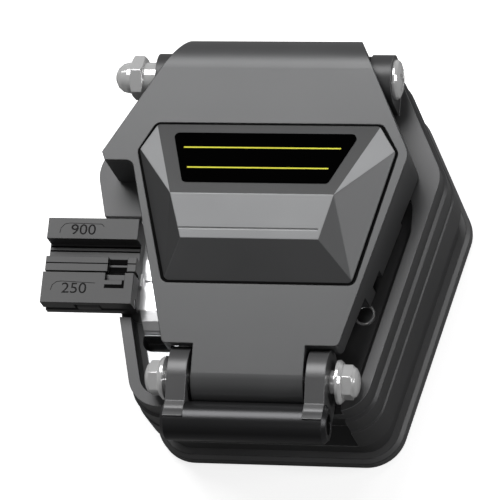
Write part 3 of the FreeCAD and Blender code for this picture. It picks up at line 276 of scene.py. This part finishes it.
@dataclass(frozen=True)
class BezelShape:
    """Corners of the bezel facets in the plane of the lid top, in millimetres, as the source has them."""

    crest_x: float = -0.25
    bezel_x: float = 0.7
    ridge: tuple[float, float] = (14.6, 2.1)
    brow: tuple[float, float] = (12.3, -5.8)
    front: tuple[float, float] = (16.7, -11.7)
    side: tuple[float, float] = (23.0, 11.6)
    rear: tuple[float, float] = (19.95, 15.5)

    def corner(self, name: str, hand: int) -> tuple[float, float]:
        """Places one corner.

        Args:
            name: Name of the corner.
            hand: 1 for the right side, -1 for the left side.

        Returns:
            X and Y of the corner.
        """
        reach, y = getattr(self, name)
        middle = self.crest_x if name in ("ridge", "brow") else self.bezel_x
        return middle + hand * reach, y

    def region(self, names: str, gain: float, hand: int = 1) -> Facet:
        """Makes the facet bounded by edges between corners.

        Args:
            names: Edges as words such as "ridge>side", with a capital for a corner of the other side.
            gain: How much the paint is scaled there, as painted light above one and painted shade below
                one.
            hand: 1 for the right side, -1 for its mirror image on the left.

        Returns:
            The facet.
        """
        edges = []
        for edge in names.split():
            ends = [self.corner(word.lower(), -hand if word[0].isupper() else hand)
                    for word in edge.split(">")]
            edges.append(tuple(ends if hand > 0 else reversed(ends)))
        return Facet(tuple(edges), gain)

    def facets(self) -> tuple[Facet, ...]:
        """Lists the regions that get painted light and painted shade.

        Returns:
            The facets with the gain of each.
        """
        return (
            # Painted light and shade, one gain per facet as it is lit: the label face and left side darker,
            # the brow, rear corners, right side and front lighter.
            self.region("Ridge>ridge ridge>rear Rear>Ridge", 0.50),
            self.region("Brow>brow brow>ridge ridge>Ridge Ridge>Brow", 3.1),
            self.region("ridge>side rear>ridge", 3.4),
            self.region("ridge>side rear>ridge", 3.6, hand=-1),
            self.region("side>ridge ridge>brow brow>front", 1.3),
            self.region("side>ridge ridge>brow brow>front", 0.8, hand=-1),
            self.region("front>brow brow>Brow Brow>Front", 1.3),
        )


@dataclass(frozen=True)
class Finish:
    """One surface finish, dressed with node materials."""

    name: str
    color: tuple[float, float, float]
    roughness: float
    metallic: float
    grain: Grain = Grain.SPRAYED
    fine_scale: float = 5000.0
    bump: float = 0.05
    vary: float = 0.06
    # Colour mixed in along sharp edges: worn paint, and on some finishes painted edge highlight (lighter)
    # and painted edge shade (near black).
    wear_and_edge_light: float = 0.25
    wear_and_edge_light_color: tuple[float, float, float] = (0.42, 0.42, 0.43)
    edge: float = 0.00025
    edge_gain: float = 6.0
    specular: float = 0.5
    coat: float = 0.0
    coat_roughness: float = 0.2
    # Regions of painted light and shade on the paint.
    facets: tuple[Facet, ...] = ()

    def build(self) -> bpy.types.Material:
        """Builds the material.

        Returns:
            The finished node material.
        """
        material = bpy.data.materials.new(self.name)
        material.use_nodes = True
        tree = material.node_tree
        shader = tree.nodes["Principled BSDF"]
        shader.inputs["Metallic"].default_value = self.metallic
        shader.inputs["Specular IOR Level"].default_value = self.specular
        shader.inputs["Coat Weight"].default_value = self.coat
        shader.inputs["Coat Roughness"].default_value = self.coat_roughness
        grain = self.place_group(tree, "surface_grain", **{"Fine Scale": self.fine_scale})
        wear_and_edge_light = self.place_group(tree, "edge_wear_and_light", Width=self.edge, Gain=self.edge_gain)
        links = tree.links

        tone = add_node(tree, "ShaderNodeValToRGB")
        shades = tone.color_ramp.elements
        shades[0].position, shades[1].position = CLOUD_LOW, CLOUD_HIGH
        shades[0].color = (*[channel * (1 - self.vary) for channel in self.color], 1)
        shades[1].color = (*[min(1.0, channel * (1 + self.vary)) for channel in self.color], 1)
        links.new(grain.outputs["Cloud"], tone.inputs["Fac"])
        # Painted light and shade on the bezel facets.
        shade = self.paint_facet_light_and_shade(tree, tone.outputs["Color"])
        # Mix the edge colour in: worn paint, painted edge highlight and painted edge shade.
        wear_and_edge_light_mix = add_node(tree, "ShaderNodeMix", data_type="RGBA")
        amount = add_node(tree, "ShaderNodeMath", operation="MULTIPLY")
        amount.inputs[1].default_value = self.wear_and_edge_light
        links.new(wear_and_edge_light.outputs["Mask"], amount.inputs[0])
        links.new(amount.outputs[0], wear_and_edge_light_mix.inputs["Factor"])
        links.new(shade, wear_and_edge_light_mix.inputs[6])
        wear_and_edge_light_mix.inputs[7].default_value = (*self.wear_and_edge_light_color, 1)
        links.new(wear_and_edge_light_mix.outputs[2], shader.inputs["Base Color"])

        rough = add_node(tree, "ShaderNodeMapRange")
        rough.inputs["To Min"].default_value = self.roughness * (1 - ROUGH_SWING)
        rough.inputs["To Max"].default_value = min(1.0, self.roughness * (1 + ROUGH_SWING))
        links.new(grain.outputs["Cloud"], rough.inputs["Value"])
        links.new(rough.outputs[0], shader.inputs["Roughness"])

        bump = add_node(tree, "ShaderNodeBump", Strength=self.bump, Distance=BUMP_DEPTH)
        if self.grain is Grain.LINES:
            lines = self.place_group(tree, "tool_lines")
            links.new(lines.outputs["Height"], bump.inputs["Height"])
        else:
            links.new(grain.outputs["Height"], bump.inputs["Height"])
        links.new(wear_and_edge_light.outputs["Round Normal"], bump.inputs["Normal"])
        links.new(bump.outputs["Normal"], shader.inputs["Normal"])
        return material

    def paint_facet_light_and_shade(self, tree: bpy.types.NodeTree, shade: bpy.types.NodeSocket) -> bpy.types.NodeSocket:
        """Paints light and shade on each facet by lightening or darkening the paint there.

        Args:
            tree: The material's tree.
            shade: Socket with the colour of the paint.

        Returns:
            Socket with the colour of the paint, with painted light and shade on every facet.
        """
        for facet in self.facets:
            gained = add_node(tree, "ShaderNodeVectorMath", operation="SCALE", Scale=facet.gain)
            chosen = add_node(tree, "ShaderNodeMix", data_type="RGBA")
            tree.links.new(shade, gained.inputs[0])
            tree.links.new(facet.mask(tree), chosen.inputs["Factor"])
            tree.links.new(shade, chosen.inputs[6])
            tree.links.new(gained.outputs[0], chosen.inputs[7])
            shade = chosen.outputs[2]
        return shade

    @staticmethod
    def place_group(tree: bpy.types.NodeTree, name: str, **values: float) -> bpy.types.Node:
        """Places a shared group in a material.

        Args:
            tree: The material's tree.
            name: Name of the group.
            **values: Values of the group's inputs.

        Returns:
            The group node.
        """
        node = tree.nodes.new("ShaderNodeGroup")
        node.node_tree = bpy.data.node_groups[name]
        for label, value in values.items():
            node.inputs[label].default_value = value
        return node


FINISHES: dict[str, Finish] = {
    finish.name: finish
    for finish in (
        # Lighter edge colour: worn paint and painted edge highlight along the casting's steps.
        Finish("body_paint", (0.075, 0.075, 0.077), 0.42, 0.25, bump=0.10, wear_and_edge_light=0.8,
               wear_and_edge_light_color=(0.50, 0.50, 0.51), edge=0.00018),
        # Paint lightened to stand for light the flange does not get: painted light. Near-black edges are
        # painted edge shade.
        Finish("flange_paint_with_painted_light", (0.150, 0.150, 0.152), 0.45, 0.2, bump=0.10, wear_and_edge_light=1.0,
               wear_and_edge_light_color=EDGE_SHADE_BLACK, edge=0.00045, edge_gain=16.0),
        # Near-black edges are painted edge shade.
        Finish("lid_paint", (0.098, 0.099, 0.101), 0.40, 0.30, bump=0.08, wear_and_edge_light=1.0,
               wear_and_edge_light_color=EDGE_SHADE_BLACK, edge=0.00022, edge_gain=24.0),
        # Facets carry painted light and painted shade.
        Finish("bezel_paint", (0.100, 0.101, 0.103), 0.38, 0.30, bump=0.06, wear_and_edge_light=0.6,
               facets=BezelShape().facets()),
        Finish("handle_paint", (0.046, 0.046, 0.048), 0.30, 0.7, grain=Grain.LINES, bump=0.05),
        Finish("yoke_paint", (0.110, 0.110, 0.112), 0.36, 0.3, bump=0.08, wear_and_edge_light=0.6),
        # Near-black edges are painted edge shade.
        Finish("holder_paint", (0.060, 0.060, 0.061), 0.45, 0.2, bump=0.10, wear_and_edge_light=0.9,
               wear_and_edge_light_color=EDGE_SHADE_BLACK, edge=0.00012, edge_gain=18.0),
        Finish("label_black", (0.001, 0.001, 0.001), 0.7, 0.0, bump=0.02, wear_and_edge_light=0.0, specular=0.0),
        Finish("label_yellow", (0.95, 0.92, 0.06), 0.5, 0.0, bump=0.02, wear_and_edge_light=0.0),
        Finish("engraving", (0.010, 0.010, 0.010), 0.6, 0.0, bump=0.02, wear_and_edge_light=0.0, specular=0.2),
        Finish("shadow_black", (0.002, 0.002, 0.002), 0.8, 0.0, bump=0.02, wear_and_edge_light=0.0, specular=0.1),
        Finish("bright_nickel", (0.96, 0.96, 0.96), 0.10, 0.50, bump=0.02, wear_and_edge_light=0.1,
               wear_and_edge_light_color=(0.9, 0.9, 0.9)),
        Finish("polished_plate", (0.82, 0.82, 0.83), 0.20, 0.72, bump=0.01, wear_and_edge_light=0.1,
               wear_and_edge_light_color=(0.95, 0.95, 0.95)),
        Finish("satin_liner", (0.40, 0.41, 0.42), 0.34, 0.75, grain=Grain.LINES, bump=0.06, wear_and_edge_light=0.1,
               wear_and_edge_light_color=(0.8, 0.8, 0.8)),
        Finish("ground_steel", (0.50, 0.50, 0.51), 0.30, 1.0, grain=Grain.LINES, bump=0.10, wear_and_edge_light=0.2,
               wear_and_edge_light_color=(0.8, 0.8, 0.8)),
        Finish("carbide", (0.30, 0.30, 0.31), 0.22, 1.0, grain=Grain.LINES, bump=0.04, wear_and_edge_light=0.2,
               wear_and_edge_light_color=(0.7, 0.7, 0.7)),
        Finish("spring_wire", (0.55, 0.55, 0.56), 0.25, 1.0, bump=0.02, wear_and_edge_light=0.0),
        Finish("bearing_bronze", (0.56, 0.38, 0.18), 0.38, 1.0, grain=Grain.LINES, bump=0.08, wear_and_edge_light=0.1,
               wear_and_edge_light_color=(0.8, 0.6, 0.35)),
        Finish("rubber_pad", (0.022, 0.022, 0.022), 0.75, 0.0, bump=0.25, wear_and_edge_light=0.0),
        Finish("mat_rubber", (0.012, 0.012, 0.012), 0.85, 0.0, bump=0.4, wear_and_edge_light=0.0),
    )
}

NODE_FINISHES: dict[str, tuple[str, ...]] = {
    "body_paint": ("body_casting", "carriage_block", "push_tab"),
    "flange_paint_with_painted_light": ("base_plate",),
    "lid_paint": ("lid_shell",),
    "bezel_paint": ("bezel",),
    "handle_paint": ("grip_tube",),
    "yoke_paint": ("handle_yoke",),
    "holder_paint": ("holder_base", "holder_flap"),
    "label_black": ("label_plate",),
    "bright_nickel": ("axle_screw", "axle_collar", "acorn_nut", "pivot_screw_right", "pivot_screw_left",
                      "pivot_spacer_right", "pivot_spacer_left", "magnet_ring", "base_screws",
                      "rail_screws", "blade_screw"),
    "polished_plate": ("holder_platform",),
    "satin_liner": ("deck_liner",),
    "ground_steel": ("lower_seat_left", "lower_seat_right", "guide_rail", "carriage_runner", "clamp_bar",
                     "clamp_guides", "anvil_sleeve", "anvil_block", "blade_hub", "flap_pin", "deck_magnet"),
    "carbide": ("blade_disc",),
    "spring_wire": ("clamp_springs", "anvil_spring"),
    "bearing_bronze": ("bush_right", "bush_left"),
    "rubber_pad": ("lower_pad_left", "lower_pad_right", "upper_pad_left", "upper_pad_right",
                   "anvil_tip_pad"),
    "mat_rubber": ("rubber_mat",),
}


class Paintshop:
    """Builds each finish once and dresses nodes and pieces with it."""

    def __init__(self) -> None:
        """Builds the shared groups and every material."""
        grain_group()
        brush_group()
        edge_wear_and_light_group()
        side_group()
        self.materials = {name: finish.build() for name, finish in FINISHES.items()}

    def dress(self, target: bpy.types.Object, finish: str) -> None:
        """Puts one finish on an object.

        Args:
            target: Object to dress.
            finish: Name of the finish.
        """
        target.data.materials.clear()
        target.data.materials.append(self.materials[finish])

    def dress_nodes(self) -> None:
        """Dresses every node of the model."""
        for finish, names in NODE_FINISHES.items():
            for name in names:
                self.dress(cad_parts[name], finish)
        dressed = {name for names in NODE_FINISHES.values() for name in names}
        for name in sorted(set(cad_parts) - dressed):
            LOG.warning("no finish for %s", name)


# ---------------------------------------------------------------- piece helpers


def finish_piece(name: str, made: bmesh.types.BMesh, body: Body, finish: str,
                 shop: Paintshop) -> bpy.types.Object:
    """Turns a bmesh into a dressed piece that rides on a body.

    Args:
        name: Name of the piece.
        made: Mesh in the row frame, in metres.
        body: Body that the piece rides on.
        finish: Name of the finish.
        shop: Paintshop that dresses it.

    Returns:
        The new object.
    """
    bmesh.ops.remove_doubles(made, verts=made.verts, dist=MERGE_GAP)
    bmesh.ops.recalc_face_normals(made, faces=made.faces)
    mesh = bpy.data.meshes.new(name)
    made.to_mesh(mesh)
    made.free()
    piece = bpy.data.objects.new(name, mesh)
    bpy.context.scene.collection.objects.link(piece)
    shop.dress(piece, finish)
    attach(piece, body.value)
    LOG.info("%s: %d faces on %s", name, len(mesh.polygons), body.value)
    return piece


def bar(made: bmesh.types.BMesh, low: Vector, high: Vector, place: Matrix, round_by: float) -> None:
    """Adds a bar with rounded edges between two corners of a local frame.

    Args:
        made: Mesh that gets the bar.
        low: Lowest corner.
        high: Highest corner.
        place: Local frame of the corners.
        round_by: Width of the rounding.
    """
    middle = (low + high) / 2
    spans = high - low
    fit = Matrix.Translation(middle) @ Matrix.Diagonal((*spans, 1))
    cube = bmesh.ops.create_cube(made, size=1.0, matrix=place @ fit)
    edges = {edge for vert in cube["verts"] for edge in vert.link_edges}
    bmesh.ops.bevel(made, geom=list(edges), offset=round_by, offset_type="OFFSET", affect="EDGES",
                    segments=2, profile=0.5, material=-1)


# ---------------------------------------------------------------- sub-assemblies


@dataclass
class Label:
    """Printed rules on the black label plate."""

    shop: Paintshop
    rule_wide: float = 0.30 * MM
    rule_thick: float = 0.03 * MM
    inset: float = 0.9 * MM
    rows: tuple[float, ...] = (0.29, 0.71)
    along_weight: float = 3.0
    height_weight: float = 6.0

    def build(self) -> None:
        """Makes the two rules on the sloping face of the plate."""
        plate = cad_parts["label_plate"]
        rear_left, rear_right, front_left, front_right = self.top_corners(plate)
        across = (rear_right - rear_left).normalized()
        down = ((front_left + front_right) / 2 - (rear_left + rear_right) / 2).normalized()
        up = down.cross(across).normalized()
        if up.z < 0:
            up = -up
        made = bmesh.new()
        for row in self.rows:
            left = rear_left.lerp(front_left, row) + across * self.inset
            right = rear_right.lerp(front_right, row) - across * self.inset
            turn = Matrix((across, down, up)).transposed().to_4x4()
            place = Matrix.Translation((left + right) / 2) @ turn
            half = (right - left).length / 2
            bar(made, Vector((-half, -self.rule_wide / 2, -self.rule_thick)),
                Vector((half, self.rule_wide / 2, self.rule_thick)), place, self.rule_thick / 3)
        finish_piece("label_rules", made, Body.LID, "label_yellow", self.shop)

    def top_corners(self, plate: bpy.types.Object) -> tuple[Vector, Vector, Vector, Vector]:
        """Finds the corners of the upper face of the plate.

        Args:
            plate: The label plate.

        Returns:
            Rear left, rear right, front left and front right corner.
        """
        spots = [vert.co.copy() for vert in plate.data.vertices]
        found = []
        for along, side in ((1, -1), (1, 1), (-1, -1), (-1, 1)):
            weights = Vector((side, along * self.along_weight, self.height_weight))
            found.append(max(spots, key=weights.dot))
        return tuple(found)


@dataclass
class BezelGapShade:
    """Black ring of painted shade in the gap between the bezel and the pocket of the lid."""

    shop: Paintshop
    shape: BezelShape = BezelShape()
    sink: float = 0.16 * MM
    thick: float = 0.10 * MM
    inside: float = 0.5 * MM
    outside: float = 0.9 * MM

    def build(self) -> None:
        """Makes the painted shade as a ring in the plane of the lid top."""
        names = (("rear", 1), ("rear", -1), ("side", -1), ("front", -1), ("front", 1), ("side", 1))
        outline = [Vector(self.shape.corner(name, hand)) * MM for name, hand in names]
        place = Matrix.Translation((0, 0, LID_BASE)) @ Matrix.Rotation(math.atan(LID_FALL), 4, "X")
        made = bmesh.new()
        rings = []
        for reach, depth in ((-self.inside, 0), (self.outside, 0), (self.outside, 1), (-self.inside, 1)):
            height = -self.sink - depth * self.thick
            rings.append([made.verts.new(place @ Vector((*spot, height)))
                          for spot in self.offset(outline, reach)])
        count = len(outline)
        for ring, other in zip(rings, rings[1:] + rings[:1]):
            for step in range(count):
                after = (step + 1) % count
                made.faces.new((ring[step], ring[after], other[after], other[step]))
        finish_piece("bezel_gap_shade", made, Body.LID, "shadow_black", self.shop)

    @staticmethod
    def offset(outline: Sequence[Vector], reach: float) -> list[Vector]:
        """Offsets a convex outline that runs counterclockwise.

        Args:
            outline: Corners of the outline.
            reach: Distance outwards.

        Returns:
            The offset corners.
        """
        result = []
        for index, spot in enumerate(outline):
            before = (spot - outline[index - 1]).normalized()
            after = (outline[(index + 1) % len(outline)] - spot).normalized()
            first, second = Vector((before.y, -before.x)), Vector((after.y, -after.x))
            middle = (first + second).normalized()
            result.append(spot + middle * (reach / middle.dot(first)))
        return result


@dataclass
class HolderMarks:
    """Numbers and brackets on the two blocks of the fibre holder, and black sheets of painted shade in its
    steps, pockets and slot.
    """

    shop: Paintshop
    height: float = 2.75 * MM
    widen: float = 1.15
    depth: float = 0.04 * MM
    line: float = 0.10 * MM
    base_digits: tuple[float, float] = (6.6 * MM, -2.25 * MM)
    flap_digits: tuple[float, float] = (6.0 * MM, 2.65 * MM)
    base_bracket: tuple[tuple[float, float], ...] = (
        (-4.3, -0.55), (-4.15, 0.35), (-3.5, 1.1), (-2.6, 1.3), (3.3, 1.15), (3.75, 0.75),
    )
    flap_bracket: tuple[tuple[float, float], ...] = (
        (-4.3, -0.35), (-4.05, 0.60), (-3.3, 1.25), (-2.4, 1.35), (3.75, 1.1),
    )
    channel_deep: float = 3.0 * MM
    ridge_drop: float = 1.0 * MM
    ledge_wide: float = 3.9 * MM
    # Sizes of the black sheets of painted shade: lines on the channel floor and along the ridge, pocket
    # floors and the slot on the flap.
    channel_lines: tuple[float, ...] = (0.55 * MM, 1.35 * MM)
    channel_line_wide: float = 0.30 * MM
    ridge_rear: float = -5.7 * MM
    ridge_front: float = -8.4 * MM
    ridge_line_wide: float = 0.20 * MM
    pocket_deep: float = 1.2 * MM
    pocket_ends: tuple[float, float] = (-28.45 * MM, -24.95 * MM)
    pocket_margins: tuple[float, float] = (0.05 * MM, 0.1 * MM)
    flap_rear: float = -9.0 * MM
    slot_ends: tuple[float, float, float] = (-28.5 * MM, -25.35 * MM, -24.9 * MM)
    slot_reach: tuple[float, float, float] = (2.9 * MM, 2.2 * MM, 1.4 * MM)

    def build(self) -> None:
        """Makes the marks, and the sheets of painted shade on the rear block and on the flap."""
        base_low, base_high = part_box("holder_base")
        flap_low, flap_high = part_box("holder_flap")
        base_x, base_y = self.base_digits
        flap_x, flap_y = self.flap_digits
        base_spot = Vector((base_low.x + base_x, base_high.y + base_y, base_high.z))
        flap_spot = Vector((base_low.x + flap_x, flap_low.y + flap_y, flap_high.z))
        self.mark("900", base_spot, self.base_bracket, Body.HOLDER)
        self.mark("250", flap_spot, self.flap_bracket, Body.FLAP)
        self.holder_painted_shade(base_low, base_high)
        self.flap_painted_shade(flap_high.z)

    def holder_painted_shade(self, low: Vector, high: Vector) -> None:
        """Paints shade as dark lines in the steps and black floors of the pockets in the ridge.

        Args:
            low: Lowest corner of the holder.
            high: Highest corner of the holder.
        """
        ridge_z = high.z - self.ridge_drop
        middle = (self.ridge_rear + self.ridge_front) / 2
        made = bmesh.new()
        for reach in self.channel_lines:
            line_y = high.y - self.ledge_wide - reach
            self.sheet(made, low.x, high.x, line_y - self.channel_line_wide / 2,
                       line_y + self.channel_line_wide / 2, high.z - self.channel_deep)
        self.sheet(made, low.x, high.x, middle, middle + self.ridge_line_wide, ridge_z)
        front_margin, rear_margin = self.pocket_margins
        for front, rear in ((self.ridge_front + front_margin, middle - self.ridge_line_wide),
                            (middle + self.ridge_line_wide, self.ridge_rear - rear_margin)):
            self.sheet(made, *self.pocket_ends, front, rear, ridge_z - self.pocket_deep + self.depth / 2)
        finish_piece("holder_painted_shade", made, Body.HOLDER, "shadow_black", self.shop)

    def flap_painted_shade(self, level: float) -> None:
        """Paints shade as a dark slot around the tongue of the flap.

        Args:
            level: Height of the flap's upper face.
        """
        left, corner, right = self.slot_ends
        front, inner, rear = (self.flap_rear - reach for reach in self.slot_reach)
        made = bmesh.new()
        self.sheet(made, corner, right, front, rear, level)
        self.sheet(made, left, corner, front, inner, level)
        finish_piece("flap_painted_shade", made, Body.FLAP, "shadow_black", self.shop)

    def sheet(self, made: bmesh.types.BMesh, left: float, right: float, front: float, rear: float,
              level: float) -> None:
        """Adds a thin level sheet that rises half of its depth above a face.

        Args:
            made: Mesh that gets the sheet.
            left: Lowest X.
            right: Highest X.
            front: Lowest Y.
            rear: Highest Y.
            level: Height of the face.
        """
        bar(made, Vector((left, front, level - self.depth / 2)),
            Vector((right, rear, level + self.depth / 2)), Matrix.Identity(4), self.depth / 8)

    def mark(self, digits: str, spot: Vector, path: Sequence[tuple[float, float]], body: Body) -> None:
        """Writes one number and the bracket behind it.

        Args:
            digits: The number.
            spot: Middle of the number on the face.
            path: Corners of the bracket around that middle, in millimetres.
            body: Body that carries it.
        """
        curve = bpy.data.curves.new("digits_" + digits, "FONT")
        curve.body = digits
        curve.size = self.height
        curve.align_x = "CENTER"
        curve.align_y = "CENTER"
        curve.extrude = self.depth / 2
        text = bpy.data.objects.new("text_" + digits, curve)
        bpy.context.scene.collection.objects.link(text)
        bpy.context.view_layer.update()
        mesh = bpy.data.meshes.new_from_object(text)
        bpy.data.objects.remove(text)
        made = bmesh.new()
        made.from_mesh(mesh)
        bpy.data.meshes.remove(mesh)
        shape = Matrix.Diagonal((self.widen, 1, 1, 1))
        bmesh.ops.transform(made, matrix=Matrix.Translation(spot) @ shape, verts=made.verts)
        self.bracket(made, spot, path)
        finish_piece("mark_" + digits, made, body, "engraving", self.shop)

    def bracket(self, made: bmesh.types.BMesh, spot: Vector, path: Sequence[tuple[float, float]]) -> None:
        """Adds the bracket that bends over a number and runs on to the right.

        Args:
            made: Mesh that gets the bracket.
            spot: Middle of the number.
            path: Corners of the bracket around that middle, in millimetres.
        """
        points = [spot + Vector((x * MM, y * MM, 0)) for x, y in path]
        for start, end in zip(points, points[1:]):
            along = (end - start).normalized()
            across = Vector((-along.y, along.x, 0))
            turn = Matrix((along, across, Vector((0, 0, 1)))).transposed().to_4x4()
            half = (end - start).length / 2 + self.line / 3
            bar(made, Vector((-half, -self.line / 2, -self.depth / 2)),
                Vector((half, self.line / 2, self.depth / 2)),
                Matrix.Translation((start + end) / 2) @ turn, self.depth / 4)


@dataclass(frozen=True)
class Lamp:
    """One soft box."""

    name: str
    spot: tuple[float, float, float]
    size: float
    power: float


@dataclass
class Studio:
    """Floor, light and camera."""

    camera_place: tuple[float, float, float] = (0.149345, -0.225372, 0.665470)
    camera_right: tuple[float, float, float] = (0.97490577, 0.08956983, -0.20380377)
    camera_up: tuple[float, float, float] = (-0.01657499, 0.94215086, 0.33477907)
    lens: float = 279.17
    sensor: float = 36.0
    floor_half: float = 2.0
    clip: tuple[float, float] = (0.01, 20.0)
    aim: tuple[float, float, float] = (0.0, 0.0, 0.03)
    lamps: tuple[Lamp, ...] = (
        Lamp("overhead", (-0.12, 0.26, 0.53), 0.32, 2.3),
        Lamp("fill_right", (0.62, 0.02, 0.26), 0.25, 0.95),
        Lamp("front_top", (0.10, -0.34, 0.58), 0.12, 0.26),
        Lamp("rear_right", (0.26, 0.32, 0.50), 0.14, 0.25),
        Lamp("rear_left", (-0.48, 0.32, 0.36), 0.14, 0.25),
    )
    floor_seen: float = 0.92
    floor_bounce: float = 0.25
    floor_glow: float = 0.75
    floor_rough: float = 0.9
    floor_gloss: float = 0.1
    surround: float = 0.08

    def build(self) -> None:
        """Makes the whole setting."""
        self.floor()
        self.world()
        self.lights()
        self.camera()
        bpy.context.scene.view_settings.view_transform = "Standard"

    def floor(self) -> None:
        """Makes the white floor under the mat, which shows a soft shadow and throws little light back."""
        made = bmesh.new()
        bmesh.ops.create_grid(made, x_segments=1, y_segments=1, size=self.floor_half)
        mesh = bpy.data.meshes.new("floor")
        made.to_mesh(mesh)
        made.free()
        floor = bpy.data.objects.new("floor", mesh)
        bpy.context.scene.collection.objects.link(floor)
        material = bpy.data.materials.new("pale_floor")
        material.use_nodes = True
        tree = material.node_tree
        shader = tree.nodes["Principled BSDF"]
        shader.inputs["Roughness"].default_value = self.floor_rough
        shader.inputs["Specular IOR Level"].default_value = self.floor_gloss
        path = add_node(tree, "ShaderNodeLightPath")
        seen = add_node(tree, "ShaderNodeMath", operation="MAXIMUM")
        color = add_node(tree, "ShaderNodeMix", data_type="RGBA")
        color.inputs[6].default_value = (*[self.floor_bounce] * 3, 1)
        color.inputs[7].default_value = (*[self.floor_seen] * 3, 1)
        glow = add_node(tree, "ShaderNodeMath", operation="MULTIPLY")
        glow.inputs[1].default_value = self.floor_glow
        shader.inputs["Emission Color"].default_value = (1, 1, 1, 1)
        links = tree.links
        links.new(path.outputs["Is Camera Ray"], seen.inputs[0])
        links.new(path.outputs["Is Transmission Ray"], seen.inputs[1])
        links.new(seen.outputs[0], color.inputs["Factor"])
        links.new(color.outputs[2], shader.inputs["Base Color"])
        links.new(seen.outputs[0], glow.inputs[0])
        links.new(glow.outputs[0], shader.inputs["Emission Strength"])
        mesh.materials.append(material)

    def world(self) -> None:
        """Makes the soft surround, white where it is seen and dim as a light."""
        world = bpy.data.worlds.new("studio")
        bpy.context.scene.world = world
        world.use_nodes = True
        tree = world.node_tree
        back = tree.nodes["Background"]
        back.inputs["Color"].default_value = (1, 1, 1, 1)
        path = add_node(tree, "ShaderNodeLightPath")
        seen = add_node(tree, "ShaderNodeMath", operation="MAXIMUM")
        level = add_node(tree, "ShaderNodeMapRange")
        level.inputs["To Min"].default_value = self.surround
        level.inputs["To Max"].default_value = 1.0
        tree.links.new(path.outputs["Is Camera Ray"], seen.inputs[0])
        tree.links.new(path.outputs["Is Transmission Ray"], seen.inputs[1])
        tree.links.new(seen.outputs[0], level.inputs["Value"])
        tree.links.new(level.outputs[0], back.inputs["Strength"])

    def lights(self) -> None:
        """Makes the soft boxes, each aimed at the object."""
        for lamp in self.lamps:
            data = bpy.data.lights.new(lamp.name, "AREA")
            data.shape = "SQUARE"
            data.size = lamp.size
            data.energy = lamp.power
            box = bpy.data.objects.new(lamp.name, data)
            box.location = lamp.spot
            box.rotation_mode = "QUATERNION"
            box.rotation_quaternion = (Vector(self.aim) - Vector(lamp.spot)).to_track_quat("-Z", "Y")
            bpy.context.scene.collection.objects.link(box)

    def camera(self) -> None:
        """Makes the camera."""
        data = bpy.data.cameras.new("camera")
        data.lens = self.lens
        data.sensor_width = self.sensor
        data.clip_start, data.clip_end = self.clip
        camera = bpy.data.objects.new("camera", data)
        right, up = Vector(self.camera_right), Vector(self.camera_up)
        back = right.cross(up)
        turn = Matrix((right, up, back)).transposed()
        camera.matrix_world = Matrix.Translation(Vector(self.camera_place)) @ turn.to_4x4()
        bpy.context.scene.collection.objects.link(camera)
        bpy.context.scene.camera = camera


def main() -> None:
    """Dresses the model and builds the setting."""
    logging.basicConfig(level=logging.INFO, format="%(name)s: %(message)s")
    shop = Paintshop()
    shop.dress_nodes()
    Label(shop).build()
    BezelGapShade(shop).build()
    HolderMarks(shop).build()
    Studio().build()


if __name__ == "__main__":
    main()
